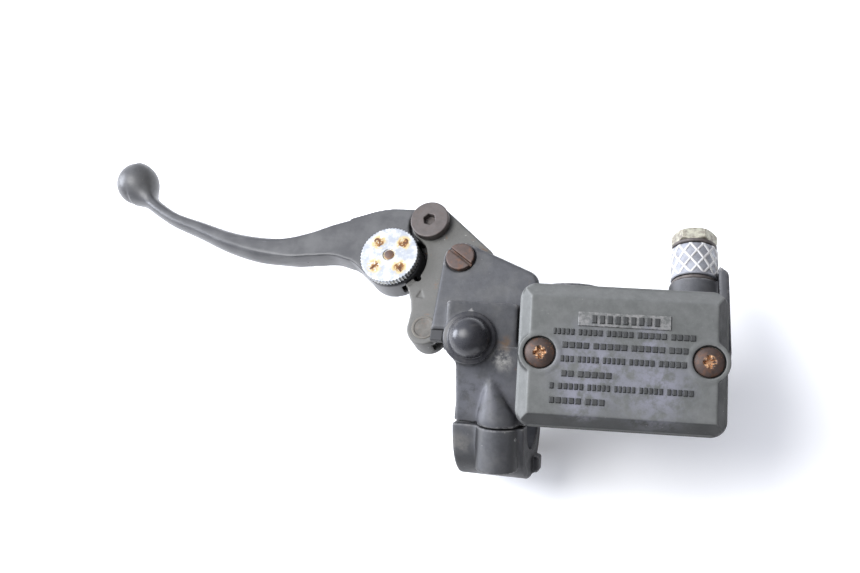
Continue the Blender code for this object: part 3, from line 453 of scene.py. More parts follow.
class Nodes:
    """The nodes of a material or a world, made and linked in short calls."""

    def __init__(self, tree):
        self.nodes = tree.nodes
        self.links = tree.links

    def feed(self, socket, value):
        if isinstance(value, bpy.types.NodeSocket):
            self.links.new(value, socket)
        elif isinstance(value, tuple) and len(value) == 3 and socket.type == "RGBA":
            socket.default_value = (*value, 1)
        else:
            socket.default_value = value

    def node(self, kind, output, inputs, **props):
        made = self.nodes.new(kind)
        for key, value in props.items():
            setattr(made, key, value)
        for key, value in inputs.items():
            self.feed(made.inputs[key], value)
        return made.outputs[output]

    def step(self, value, low, high, start=0.0, end=1.0):
        """Maps value from low..high to start..end, held at both ends."""
        return self.node("ShaderNodeMapRange", 0, {
            0: value, 1: low, 2: high, 3: start, 4: end}, interpolation_type="SMOOTHSTEP")

    def maths(self, operation, a, b):
        return self.node("ShaderNodeMath", 0, {0: a, 1: b}, operation=operation)

    def times(self, a, b):
        return self.maths("MULTIPLY", a, b)

    def mix(self, share, a, b):
        return self.node("ShaderNodeMix", 2, {0: share, 6: a, 7: b}, data_type="RGBA")


class Finish(Nodes):
    """A material round one Principled shader, in metres of object space, kept by its name."""

    def __init__(self, name, **values):
        material = bpy.data.materials.new(name)
        material.use_nodes = True
        super().__init__(material.node_tree)
        self.shader = self.nodes["Principled BSDF"]
        self.place = self.nodes.new("ShaderNodeTexCoord").outputs["Object"]
        self.set(**values)
        FINISHES[name] = material

    def set(self, **values):
        for key, value in values.items():
            self.feed(self.shader.inputs[SOCKETS[key]], value)

    def noise(self, size, detail=5.0, roughness=0.55, offset=0.0, stretch=None):
        """Noise from 0 to 1, with features about size millimetres wide."""
        place = self.place
        if offset or stretch:
            place = self.node("ShaderNodeMapping", 0, {
                "Vector": place, "Location": (offset * MM,) * 3, "Scale": stretch or (1, 1, 1)})
        return self.node("ShaderNodeTexNoise", 0, {
            "Vector": place, "Scale": 1 / (size * MM), "Detail": detail, "Roughness": roughness})

    def hollows(self):
        """One in inner corners and recesses, nought elsewhere."""
        return self.step(self.node("ShaderNodeNewGeometry", "Pointiness", {}), 0.48, 0.42)

    def near(self, centre, reach):
        """One at a point in millimetres, falling to nought at reach millimetres away."""
        away = self.node("ShaderNodeVectorMath", "Value", {
            0: self.place, 1: tuple(c * MM for c in centre)}, operation="DISTANCE")
        return self.step(away, 0.0, reach * MM, 1.0, 0.0)

    def edges(self, low=0.52, high=0.62):
        """One along outer edges, nought elsewhere."""
        return self.step(self.node("ShaderNodeNewGeometry", "Pointiness", {}), low, high)

    def relief(self, height, depth, normal=None):
        """Bump from a height of 0 to 1, depth millimetres deep."""
        inputs = {"Height": height, "Distance": depth * MM, "Strength": 1.0}
        if normal:
            inputs["Normal"] = normal
        return self.node("ShaderNodeBump", 0, inputs)

    def upward(self):
        """One on faces that look up, nought on sides and undersides, which the paint darkens as painted
        shade.
        """
        normal = self.node("ShaderNodeNewGeometry", "Normal", {})
        return self.step(self.node("ShaderNodeSeparateXYZ", 2, {0: normal}), 0.4, 0.75)


def worn_paint(name, colour, dust_colour, roughness, grain, wear, rust=0.0, films_and_lit_patches=()):
    """Old satin paint: grain, dust in patches, painted shade on the sides, bare edges, rust stains,
    specks.
    """
    f = Finish(name, specular=0.3)
    cloud = f.noise(9, 6, 0.6)
    fine = f.noise(0.35, 3, 0.6)
    tint = f.mix(f.step(f.noise(2.4, 5, 0.7, 3), 0.35, 0.7, 0, 0.6), colour,
                 tuple(1.35 * c for c in colour))
    dust_and_side_shade = f.mix(f.times(f.step(cloud, 0.42, 0.72), 0.35), tint, dust_colour)
    if rust:
        stain = f.times(f.step(f.noise(7, 7, 0.7, 21), 0.62, 0.72), rust)
        dust_and_side_shade = f.mix(stain, dust_and_side_shade, (0.16, 0.075, 0.035))
    # Painted shade: sides and undersides take a quarter of the paint colour, darker the steeper they
    # stand.
    dust_and_side_shade = f.mix(f.upward(), tuple(0.25 * c for c in colour), dust_and_side_shade)
    speck = f.step(f.noise(0.9, 2, 0.5, 47), 0.75, 0.8, 0, 0.5)
    speckled = f.mix(speck, dust_and_side_shade, (0.5, 0.48, 0.44))
    # Given patches: films of dust, grime and rust, and patches of painted light.
    for spot, reach, film_and_light_colour in films_and_lit_patches:
        film_and_light_mask = f.times(f.near(spot, reach), f.step(f.noise(4, 6, 0.7, 61), 0.36, 0.6))
        speckled = f.mix(film_and_light_mask, speckled, film_and_light_colour)
    worn = f.times(f.edges(0.515, 0.58), f.step(f.noise(1.6, 4, 0.7, 9), 0.38, 0.62))
    worn = f.times(worn, wear)
    shine = f.maths("ADD", f.step(cloud, 0.3, 0.75, roughness - 0.07, roughness + 0.12),
                    f.step(fine, 0.3, 0.7, -0.04, 0.04))
    f.set(colour=f.mix(worn, speckled, (0.34, 0.33, 0.32)), roughness=shine,
          bump=f.relief(fine, grain, f.relief(f.noise(1.5, 4, 0.6, 5), grain * 1.6)))


def bare_metal(name, colour, dark, roughness, metallic=1.0, rust=0.0, grain=0.02, size=1.2,
               rim=None, recess=None, glint_spots=()):
    """Machined or plated metal, stained in patches, with rust where asked and painted glints round
    given spots.
    """
    f = Finish(name, metallic=metallic)
    cloud = f.noise(size * 3, 6, 0.65)
    fine = f.noise(0.3, 4, 0.65, 11)
    tint = f.mix(f.step(cloud, 0.35, 0.68), colour, dark)
    tint = f.mix(f.step(f.noise(size, 4, 0.7, 31), 0.5, 0.72, 0, 0.5), tint, dark)
    shine = f.step(cloud, 0.3, 0.7, roughness - 0.08, roughness + 0.14)
    if rust:
        spread = f.times(f.step(f.noise(size * 1.5, 7, 0.75, 5), 0.5, 0.6), rust)
        tint = f.mix(spread, tint, f.mix(fine, (0.09, 0.035, 0.018), (0.30, 0.115, 0.04)))
        f.set(metallic=f.step(spread, 0.2, 0.8, metallic, 0.0))
        shine = f.step(spread, 0.2, 0.8, roughness, 0.85)
    if rim:
        tint = f.mix(f.times(f.edges(), f.step(cloud, 0.3, 0.55)), tint, rim)
    # Painted glints: bright orange patches round each given spot, the lid screws' middles.
    for spot in glint_spots:
        patch = f.times(f.near(spot, 3.4), f.step(f.noise(0.9, 4, 0.7, 3), 0.4, 0.55))
        tint = f.mix(f.step(patch, 0.15, 0.4), tint, (0.62, 0.36, 0.19))
    if recess:
        tint = f.mix(f.hollows(), tint, recess)
    f.set(colour=tint, roughness=shine, bump=f.relief(fine, grain))


def moulded(name, colour, roughness, grain=0.012, dust=0.2):
    """Rubber or plastic: an even skin with a little dust and fine grain."""
    f = Finish(name)
    cloud = f.noise(5, 5, 0.6, 17)
    skin = f.mix(f.step(cloud, 0.45, 0.75, 0, dust), colour, (0.2, 0.19, 0.17))
    f.set(colour=skin, roughness=f.step(cloud, 0.3, 0.7, roughness - 0.06, roughness + 0.12),
          bump=f.relief(f.noise(0.5, 3, 0.6), grain))


def knocker_finish():
    """Gritty, faded cast metal."""
    f = Finish("knocker_metal", metallic=0.15)
    grit = f.noise(0.5, 4, 0.7)
    cloud = f.noise(8, 5, 0.6, 13)
    colour = f.mix(f.step(cloud, 0.35, 0.7), (0.098, 0.097, 0.088), (0.135, 0.132, 0.122))
    colour = f.mix(f.step(grit, 0.55, 0.75, 0, 0.55), colour, (0.06, 0.058, 0.053))
    speck = f.step(f.noise(1.0, 2, 0.5, 41), 0.74, 0.77, 0, 0.9)
    colour = f.mix(speck, colour, (0.5, 0.48, 0.44))
    stain = f.times(f.step(f.noise(5, 6, 0.7, 8), 0.6, 0.7), 0.55)
    colour = f.mix(stain, colour, (0.19, 0.10, 0.05))
    worn = f.times(f.edges(0.515, 0.58), 0.5)
    f.set(colour=f.mix(worn, colour, (0.27, 0.265, 0.25)),
          roughness=f.step(cloud, 0.3, 0.7, 0.5, 0.7),
          bump=f.relief(grit, 0.05))


def lever_finish():
    """Satin black lever paint with pale specks and fine scuffs along it."""
    f = Finish("lever_paint", specular=0.42)
    scuff = f.noise(1.2, 5, 0.7, 2, (0.16, 1, 1))
    cloud = f.noise(12, 5, 0.6, 6)
    colour = f.mix(f.step(cloud, 0.4, 0.7), (0.06, 0.06, 0.062), (0.095, 0.095, 0.095))
    colour = f.mix(f.step(scuff, 0.62, 0.72, 0, 0.25), colour, (0.17, 0.17, 0.175))
    speck = f.step(f.noise(1.3, 2, 0.5, 51), 0.755, 0.79, 0, 0.6)
    f.set(colour=f.mix(speck, colour, (0.45, 0.43, 0.4)),
          roughness=f.maths("ADD", f.step(cloud, 0.3, 0.7, 0.27, 0.38),
                            f.step(scuff, 0.4, 0.7, 0, 0.1)),
          bump=f.relief(f.noise(0.8, 3, 0.6), 0.012))


def dial_spot(degrees_round):
    """Where a stamped number's middle lies on the dial's top."""
    turn = radians(degrees_round)
    return (DIAL[0] + DIAL_NUMBER_RADIUS * cos(turn), DIAL[1] + DIAL_NUMBER_RADIUS * sin(turn),
            DIAL_TOP)


def dial_finish():
    """Bright zinc, gone yellow and rusty in patches round the stamped numbers."""
    f = Finish("dial_zinc", metallic=0.35)
    cloud = f.noise(4.5, 6, 0.7, 12)
    fine = f.noise(0.5, 4, 0.7, 4)
    colour = f.mix(f.step(cloud, 0.38, 0.58), (0.57, 0.578, 0.57), (0.33, 0.35, 0.38))
    stained = 0.0
    for _, degrees_round in DIAL_NUMBERS:
        stained = f.maths("MAXIMUM", stained, f.near(dial_spot(degrees_round), 4.6))
    stained = f.maths("MAXIMUM", stained, f.near((*DIAL, DIAL_TOP), 3.6))
    patchy = f.times(stained, f.step(f.noise(2.2, 6, 0.75, 3), 0.36, 0.56))
    colour = f.mix(f.step(patchy, 0.08, 0.45, 0, 0.85), colour, (0.52, 0.40, 0.16))
    rust = f.step(patchy, 0.42, 0.7)
    colour = f.mix(rust, colour, f.mix(fine, (0.10, 0.05, 0.02), (0.40, 0.17, 0.05)))
    side = f.step(f.noise(1.6, 5, 0.7, 37), 0.45, 0.6, 0, 0.7)
    below = f.step(f.node("ShaderNodeSeparateXYZ", 2, {0: f.place}), (DIAL_TOP - 0.3) * MM,
                   (DIAL_TOP - 0.7) * MM)
    colour = f.mix(f.times(side, below), colour, (0.25, 0.23, 0.15))
    f.set(colour=colour, metallic=f.step(rust, 0, 1, 0.35, 0.0),
          roughness=f.step(rust, 0, 1, 0.42, 0.85), bump=f.relief(fine, 0.02))


def glass_finish():
    """The sight window's old, hazed lens."""
    f = Finish("window", transmission=0.75, ior=1.49, specular=0.5)
    haze = f.noise(3, 5, 0.6)
    f.set(colour=f.mix(haze, (0.55, 0.6, 0.55), (0.8, 0.82, 0.78)),
          roughness=f.step(haze, 0.3, 0.7, 0.08, 0.25))


def lid_spot(x, y):
    return tuple(RESERVOIR_TURN @ Vector((x, y, LID_TOP_Z)))


# Films of dust, grime and rust, and patches of painted light where the lamps fall brighter: a middle
# and a reach in millimetres, and a colour
# On the lid's top: lighter bluish patches, painted sheen.
LID_LIT_PATCHES = tuple((lid_spot(x, y), reach, (0.24, 0.24, 0.28))
                  for x, y, reach in ((30, 15, 20), (50, 10, 18), (26, 5, 10), (48, 24, 9)))
# Body: the bluish-grey patches over the pillar and the grey one on the outlet boss are painted light;
# the others are dust and rust.
STAINS_AND_LIT_PATCHES = (((4.5, 12.5, 28.0), 6.0, (0.42, 0.41, 0.38)), ((1.5, 19.2, 26.5), 4.0, (0.42, 0.40, 0.36)),
          ((5.2, 17.5, 29.0), 4.5, (0.16, 0.085, 0.03)), ((-15.7, 61.4, 21.0), 6.0, (0.2, 0.1, 0.04)),
          ((-6.0, 4.0, 17.0), 17.0, (0.12, 0.122, 0.135)), ((3.0, 0.0, 18.0), 14.0, (0.1, 0.1, 0.112)),
          ((62.0, 56.0, 24.0), 14.0, (0.17, 0.17, 0.18)), ((-10.0, -12.0, 9.0), 7.0, (0.2, 0.19, 0.17)))
# Where painted glints sit on the lid screws.
SCREW_GLINTS = tuple(lid_spot(*screw) for screw in LID_SCREWS)


def make_finishes():
    """One finish per slot, and four for parts of a slot: marks, pin, sleeve core and numbers."""
    worn_paint("body_paint", (0.062, 0.063, 0.067), (0.14, 0.138, 0.13), 0.45,
               grain=0.03, wear=0.7, rust=0.25, films_and_lit_patches=STAINS_AND_LIT_PATCHES)
    worn_paint("lid_paint", (0.122, 0.126, 0.12), (0.2, 0.2, 0.195), 0.5,
               grain=0.025, wear=0.6, films_and_lit_patches=LID_LIT_PATCHES)
    worn_paint("mark_paint", (0.05, 0.051, 0.05), (0.12, 0.12, 0.115), 0.5,
               grain=0.02, wear=0.0)
    lever_finish()
    knocker_finish()
    bare_metal("rusty_steel", (0.092, 0.064, 0.055), (0.06, 0.042, 0.035), 0.55, 0.3,
               0.3, 0.04, rim=(0.26, 0.13, 0.06), recess=(0.30, 0.11, 0.035),
               glint_spots=SCREW_GLINTS)
    bare_metal("dark_steel", (0.102, 0.088, 0.082), (0.077, 0.065, 0.06), 0.5, 0.25,
               0.05, 0.02)
    bare_metal("pin_steel", (0.13, 0.122, 0.108), (0.085, 0.08, 0.07), 0.55, 0.3,
               0.1, 0.03, rim=(0.22, 0.20, 0.16))
    bare_metal("bright_steel", (0.62, 0.62, 0.61), (0.4, 0.39, 0.37), 0.3)
    bare_metal("spring_steel", (0.5, 0.5, 0.52), (0.3, 0.3, 0.31), 0.32)
    dial_finish()
    bare_metal("piston_alloy", (0.66, 0.6, 0.46), (0.5, 0.44, 0.32), 0.32)
    bare_metal("copper", (0.15, 0.13, 0.12), (0.09, 0.08, 0.075), 0.5, 0.4)
    bare_metal("fitting_brass", (0.52, 0.51, 0.40), (0.2, 0.175, 0.15), 0.42,
               0.55, 0.1, 0.09, 0.7)
    bare_metal("sleeve_mesh", (0.66, 0.66, 0.65), (0.46, 0.44, 0.42), 0.42, 0.2)
    # The sleeve core is the same metal as the bands; its darker, bluer tone is painted shade in the
    # cells between them.
    bare_metal("sleeve_core", (0.40, 0.41, 0.44), (0.24, 0.24, 0.26), 0.4, 0.45)
    bare_metal("bush_bronze", (0.52, 0.36, 0.18), (0.33, 0.22, 0.11), 0.4)
    moulded("rubber", (0.028, 0.028, 0.03), 0.62, 0.02, 0.35)
    moulded("plug_rubber", (0.03, 0.03, 0.034), 0.3, 0.008, 0.25)
    moulded("tray_plastic", (0.62, 0.6, 0.52), 0.5)
    glass_finish()
    moulded("switch_plastic", (0.03, 0.03, 0.032), 0.45, 0.015, 0.3)
    moulded("plunger_plastic", (0.6, 0.6, 0.57), 0.45)
    bare_metal("contact_brass", (0.62, 0.5, 0.28), (0.4, 0.3, 0.16), 0.35)
    bare_metal("number_rust", (0.10, 0.04, 0.02), (0.2, 0.09, 0.03), 0.8, 0.0, 0.5)


# ---------------- casting

def ear_outline(left_foot):
    slope = 67.6
    left = PIVOT[0] - EAR_RADIUS
    return ([(left - 0.4, left_foot)] + arc(PIVOT, EAR_RADIUS, 180, slope)
            + arc((7.9, 43.0), 5.5, slope, 0, 5)
            + [(13.4, 18.0), (-18.5, 18.0), (-18.5, left_foot)])


def clamp_half(p, c):
    """The ring, two bolt bosses and the pillar that rises to the mirror block."""
    shape = rod(p, 0, (0, 0), CLAMP_RING_RADIUS, -CLAMP_HALF_WIDTH, CLAMP_HALF_WIDTH, 0.7)
    profile = [(-1.1, -12.5), (15.0, -12.5), (22.5, -5.0), (28.6, 5.0), (28.6, 19.6),
               (-1.1, 15.8)]
    shape = join(shape, slab(c, 0, profile, -12.3, 11.9, 1.2), 1.5)
    lower = rod(c, 1, LOWER_BOLT, CLAMP_BOSS_RADIUS, -1.0, 14.6, 1.6)
    taper = flow(c[1], [(-1.0, 7.5), (2.0, 7.3), (8.0, 5.2), (16.5, 1.6)])
    centre = CLAMP_BOLT_X - 0.2 * np.maximum(c[1] - 1.0, 0)
    cone = rounded([np.hypot(c[0] - centre, c[2] - CLAMP_BOLT_Z) - taper,
                    between(c[1], -1.0, 17.0)], 1.2)
    return join(join(shape, lower, 1.6), cone, 1.0)


def mirror_block(r):
    post = rod(r, 2, MIRROR_AXIS, MIRROR_RADIUS, 4.0, MIRROR_TOP_Z, 0.6)
    block = box(r, (-20.0, 22.5, 8.0), (5.5, 38.2, MIRROR_TOP_Z - 0.05), 1.4)
    return join(post, block, 1.5)


def barrel(p):
    shape = rod(p, 0, (BARREL_Y, MID_Z), BARREL_RADIUS, MOUTH_X, BARREL_END_X, 0.8)
    shape = join(shape, box(p, (6.5, 12.5, 9.0), (30.0, 33.0, 28.0), 1.5), 3)
    about = [*along_across(p, OUTLET_HUB, OUTLET_LEAN), p[2] - OUTLET_HUB[2]]
    boss = rod(about, 1, (0.0, 0.0), OUTLET_BOSS_RADIUS + 0.3, BARREL_Y - OUTLET_HUB[1],
               OUTLET_FACE_Y - OUTLET_HUB[1], 0.6)
    across = (p[0] - 78.0) + (p[1] - 40.0) * 0.075
    end = np.maximum(p[1] - 54.6 - 0.2 * (p[0] - 76.0), p[1] - 56.0 + 0.75 * (p[0] - 74.0))
    stop = rounded([np.abs(across) - 1.8, np.maximum(end, 22.0 - p[1]), between(p[2], 8.0, 22.5)],
                   0.9)
    return join(join(shape, boss, 3), stop, 1.6)


def tub(p, r):
    walls = tray(r, TUB_SIZE, LID_CORNER, -4.0, TUB_RIM_Z, 0.5)
    walls = cut(walls, p[2] - TUB_UNDERSIDE, 2)
    sight = rod(r, 1, SIGHT, SIGHT_RADIUS + 1.0, 36.0, SIGHT_FACE_Y, 0.5)
    return join(walls, sight, 3)


def well(p, r):
    inner = (TUB_SIZE[0] - 2 * TUB_WALL, TUB_SIZE[1] - 2 * TUB_WALL)
    room = tray(r, inner, LID_CORNER - TUB_WALL, -4.0, TUB_RIM_Z + 4)
    room = cut(room, p[2] - TUB_FLOOR)
    for screw in LID_SCREWS:
        room = cut(room, rod(r, 2, screw, 5.0, -9.0, 60.0))
    return cut(room, rod(p, 0, (BARREL_Y, MID_Z), BARREL_RADIUS - 0.05, 0.0, BARREL_END_X))


def casting_holes(p, c, r):
    """What is bored or sawn out, told in the part's, the clamp's and the reservoir's axes."""
    yield rod(p, 0, (0, 0), BAR_RADIUS, -30.0, 30.0)
    yield box(c, (-13.5, -30.0, -40.0), (13.5, CLAMP_SPLIT, 40.0))
    for bolt, end, screw in ((UPPER_BOLT, 8.4, LID_SCREWS[1]), (LOWER_BOLT, 14.0, LID_SCREWS[0])):
        yield rod(c, 1, bolt, CLAMP_BOLT_HOLE_RADIUS, -2.0, end)
        yield rod(r, 2, screw, 2.3, 31.0, 45.0)
    fork = [(MOUTH_X, 15.5), (MOUTH_X, 35.0), (3.0, 35.0), (3.0, 66.0), (-45.0, 66.0),
            (-45.0, 15.5)]
    yield slab(p, 2, fork, MID_Z - FORK_HALF_GAP, MID_Z + FORK_HALF_GAP)
    yield rod(p, 0, (BARREL_Y, MID_Z), BORE_RADIUS, MOUTH_X - 1.0, BORE_END_X)
    yield rod(p, 0, (BARREL_Y, MID_Z), 7.2, -40.0, MOUTH_X)
    yield rod(p, 2, PIVOT, PIVOT_HOLE_RADIUS, *THROUGH)
    yield rod(p, 2, PIVOT, 5.8, PIVOT_SEAT_Z, EAR_TOP + 9.0)
    yield rod(p, 1, (OUTLET_X + 0.7, MID_Z), BANJO_RADIUS + GAP, 33.5, 70.0)
    yield rod(r, 2, MIRROR_AXIS, MIRROR_HOLE_RADIUS + GAP, MIRROR_HOLE_BOTTOM_Z, 40.0)
    yield rod(r, 1, SIGHT, 5.0, 33.0, 50.0)
    yield rod(r, 1, SIGHT, 7.6, 40.2, 50.0)
    yield rod(p, 2, SWITCH_SCREW, 1.5, 0.0, 10.0)


def casting():
    grid = Grid((-29, -15, -24), (82, 61, 50), 0.62)
    p, c, r = grid.axes, grid.turned(CLAMP_TURN), grid.turned(RESERVOIR_TURN)
    shape = slab(p, 2, ear_outline(23.2), MID_Z + FORK_HALF_GAP, EAR_TOP, 1.5)
    shape = join(shape, slab(p, 2, ear_outline(44.0), EAR_BOTTOM, MID_Z - FORK_HALF_GAP, 0.8))
    shape = join(shape, box(p, (-8.0, 13.0, 6.0), (13.0, 35.0, 24.5), 1.0), 1.5)
    shape = join(shape, box(p, (3.0, 33.0, 6.0), (13.0, 41.0, 24.5), 1.0), 1.5)
    shape = join(shape, clamp_half(p, c), 2)
    shape = join(shape, mirror_block(r), 1.5)
    shape = join(shape, barrel(p), 2)
    shape = join(shape, tub(p, r), 2.5)
    shape = cut(shape, well(p, r))
    for hole in casting_holes(p, c, r):
        shape = cut(shape, hole, 0.5)
    solid_piece("casting", grid, shape, "body", "body_paint", "master_cylinder_body")


def boot_lip():
    """The dark lip that shows below the ear, beside the pushrod."""
    grid = Grid((-25, 18.2, 20.4), (-18, 24.2, 25), 0.2)
    shape = box(grid.axes, (-24.0, 19.2, 21.2), (-19.2, 23.3, 24.1), 0.35)
    solid_piece("boot_lip", grid, shape, "body", "rubber")


def clamp_cap():
    grid = Grid((-16, -23.5, -25), (16, 1, 25), 0.45)
    c = grid.axes
    shape = rounded([oval_gap(c[1], c[2], CLAMP_BACK, CLAMP_SHOULDER),
                     between(c[0], -CLAMP_HALF_WIDTH, CLAMP_HALF_WIDTH)], 1.2)
    for bolt in (UPPER_BOLT, LOWER_BOLT):
        shape = join(shape, rod(c, 1, bolt, CLAMP_BOSS_RADIUS, 1 - CLAMP_BOSS_END, 6.0, 0.5), 1.5)
    shape = join(shape, box(c, (-15.2, -20.6, -9.0), (15.2, -14.6, -2.0), 1.0), 1.2)
    shape = cut(shape, box(c, (-30.0, -CLAMP_SPLIT, -40.0), (30.0, 30.0, 40.0)), 0.5)
    shape = cut(shape, rod(c, 0, (0, 0), BAR_RADIUS, -30.0, 30.0), 0.5)
    for bolt in (UPPER_BOLT, LOWER_BOLT):
        shape = cut(shape, rod(c, 1, bolt, CLAMP_BOLT_HOLE_RADIUS, -30.0, 5.0))
        shape = cut(shape, rod(c, 1, bolt, 5.4, -30.0, -11.5), 0.4)
    solid_piece("clamp_cap_cast", grid, shape, "body", "body_paint", "clamp_cap", turn=CLAMP_TURN)


def socket_bolts():
    for label, centre, reach in (("upper", UPPER_BOLT, 7.8), ("lower", LOWER_BOLT, 13.0)):
        grid = Grid((centre[0] - 5.6, -17.6, centre[1] - 5.6),
                    (centre[0] + 5.6, 13.6, centre[1] + 5.6), 0.22)
        c = grid.axes
        shape = rod(c, 1, centre, 5.0, -15.6, -11.8, 0.5)
        shape = join(shape, rod(c, 1, centre, 2.6, -12.5, reach, 0.4), 0.4)
        shape = cut(shape, hexagon(c, 1, centre, 5.0, -20.0, -13.8), 0.2)
        solid_piece(f"socket_bolt_{label}", grid, shape, "body", "dark_steel",
                    f"clamp_bolt_{label}", turn=CLAMP_TURN)


def plug():
    base = MIRROR_TOP_Z + GAP
    dome = [(7.3 * cos(radians(a)), base + 1.6 + 7.1 * sin(radians(a))) for a in range(6, 90, 6)]
    profile = [(0.0, MIRROR_HOLE_BOTTOM_Z + 0.8), (4.0, MIRROR_HOLE_BOTTOM_Z + 0.8),
               (4.4, MIRROR_HOLE_BOTTOM_Z + 1.6), (4.4, base - 0.2), (4.8, base), (8.9, base),
               (9.22, base + 0.2), (9.3, base + 0.6), (9.22, base + 1.0), (8.9, base + 1.25),
               (8.1, base + 1.2), (7.5, base + 1.5)] + dome + [(0.0, base + 8.7)]
    at = RESERVOIR_TURN @ Vector((*MIRROR_AXIS, 0))
    obj = lathe("mirror_plug", profile, at, RESERVOIR_TURN, sharp=60)
    piece(obj, "body", "plug_rubber", "mirror_hole_plug")


# ---------------- reservoir lid

def lid():
    half_x, half_y = LID_SIZE[0] / 2, LID_SIZE[1] / 2
    grid = Grid((LID_CENTRE[0] - half_x - 1, LID_CENTRE[1] - half_y - 1, LID_BASE_Z - 2),
                (LID_CENTRE[0] + half_x + 1, LID_CENTRE[1] + half_y + 1, LID_TOP_Z + 1), 0.36)
    r = grid.axes
    skirt = tray(r, LID_SIZE, LID_CORNER, LID_BASE_Z - 1.2, LID_BASE_Z + 0.9, 0.5)
    slope_start = LID_BASE_Z + 0.6
    climb = LID_TOP_Z - slope_start
    sides = [rectangle_gap(r, LID_CENTRE, LID_SIZE, LID_CORNER) + 0.35,
             between(r[2], LID_BASE_Z - 0.5, LID_TOP_Z)]
    for axis, way, inset in ((0, -1, 3.3), (0, 1, 4.0), (1, -1, 3.8), (1, 1, 4.7)):
        edge = way * (r[axis] - LID_CENTRE[axis]) - LID_SIZE[axis] / 2 + 0.35
        sides.append((edge + (r[2] - slope_start) * inset / climb) * cos(atan2(inset, climb)))
    crown = rounded(sides, 0.3)
    shape = join(skirt, crown, 0.4)
    hollow = tray(r, (50.0, 34.0), 3.0, LID_BASE_Z - 3.0, LID_TOP_Z - 2.5)
    for screw in LID_SCREWS:
        boss = rod(r, 2, screw, LID_BOSS_RADIUS, LID_BASE_Z - 0.5, LID_TOP_Z, 0.35)
        shape = join(shape, boss, 0.8)
        kept = rod(r, 2, screw, LID_BOSS_RADIUS, LID_BASE_Z - 4.0, LID_TOP_Z + 3)
        hollow = cut(hollow, kept)
    shape = cut(shape, hollow)
    for screw in LID_SCREWS:
        shape = cut(shape, rod(r, 2, screw, 2.8, 30.0, 60.0), 0.3)
        shape = cut(shape, rod(r, 2, screw, 5.3, LID_SCREW_SEAT_Z, 60.0), 0.4)
    solid_piece("lid_cast", grid, shape, "body", "lid_paint", "reservoir_lid", turn=RESERVOIR_TURN)


def raised_bars(name, bars, base, finish):
    """Low bars with eased tops, standing on the lid; each bar is a middle and a size."""
    points, faces = [], []
    for (x, y), (w, h) in bars:
        first = len(points)
        for z, inset in ((base - 0.2, -0.08), (base + 0.35, 0.02), (base + 0.5, 0.16)):
            u, v = w / 2 - inset, h / 2 - inset
            points += [(x - u, y - v, z), (x + u, y - v, z), (x + u, y + v, z), (x - u, y + v, z)]
        for level in (0, 4):
            for k in range(4):
                a, b = first + level + k, first + level + (k + 1) % 4
                faces.append((a, b, b + 4, a + 4))
        faces.append(tuple(first + 8 + k for k in range(4)))
        faces.append(tuple(first + k for k in (3, 2, 1, 0)))
    bar = add_object(name, points, faces, turn=RESERVOIR_TURN, sharp=30, recalculate=True)
    piece(bar, "body", "lid_paint")
    bar.data.materials[0] = FINISHES[finish]


def lid_marks():
    """Raised plain strokes in rows, where a real lid carries raised print."""
    rows = [(26.2, 17.0, 62.5), (21.9, 20.0, 59.6), (17.4, 19.6, 59.7), (12.6, 20.0, 35.5),
            (8.5, 16.4, 63.0), (3.9, 16.5, 35.0)]
    strokes = []
    for i, (y, x0, x1) in enumerate(rows):
        x, k = x0, 0
        while x < x1 - 1.2:
            width = 0.8 + 0.9 * abs(sin(3.1 * k + 1.7 * i))
            gap = 1.5 if (k + i) % 5 == 4 else 0.55
            strokes.append(((x + width / 2, y), (width, 1.9)))
            x += width + gap
            k += 1
    title = [((29.9 + 2.5 * k, 30.6), (1.5, 2.6)) for k in range(9)]
    raised_bars("lid_marks", strokes, LID_TOP_Z, "mark_paint")
    raised_bars("title_bar", [((39.6, 30.6), (29.6, 4.6))], LID_TOP_Z, "lid_paint")
    raised_bars("title_marks", title, LID_TOP_Z + 0.45, "mark_paint")


def lid_screws():
    seat = LID_SCREW_SEAT_Z + GAP
    for label, centre in zip(("left", "right"), LID_SCREWS):
        grid = upright_grid(centre, 5.4, seat - 3, seat + 3, 0.15)
        r = grid.axes
        head = rod(r, 2, centre, 4.95, seat, seat + 2.4, 0.2)
        dome = ball(r, (*centre, seat + 2.3 - 9.0), 9.0)
        shape = cut(head, -dome, 0.4)
        shape = join(shape, rod(r, 2, centre, 2.0, seat - 2.6, seat + 0.5, 0.2))
        u, v = along_across(r, centre, radians(10))
        depth = seat + 2.4 - r[2]
        reach = np.hypot(u, v) - 2.5 + 0.7 * depth
        for across in (u, v):
            blade = rounded([np.abs(across) - 0.68 + 0.12 * depth, reach, depth - 1.9])
            shape = cut(shape, blade, 0.15)
        solid_piece(f"cross_screw_{label}", grid, shape, "body", "rusty_steel",
                    f"lid_screw_{label}", turn=RESERVOIR_TURN)


def sight_window():
    at = RESERVOIR_TURN @ Vector((SIGHT[0], 0, SIGHT[1]))
    turn = RESERVOIR_TURN @ ALONG_Y
    lens = [(0.0, 41.2), (5.4, 41.2), (5.6, 41.4), (5.6, 42.9), (5.4, 43.15), (4.6, 43.4), (2.6, 43.62),
            (0.0, 43.7)]
    piece(lathe("sight_lens", lens, at, turn), "body", "window", "sight_glass")
    seal = eased([(5.9, 40.5), (7.3, 40.5), (7.3, 43.5), (5.9, 43.5)], 0.3)
    piece(lathe("sight_seal", seal, at, turn), "body", "rubber", "sight_glass_seal")


# ---------------- outlet

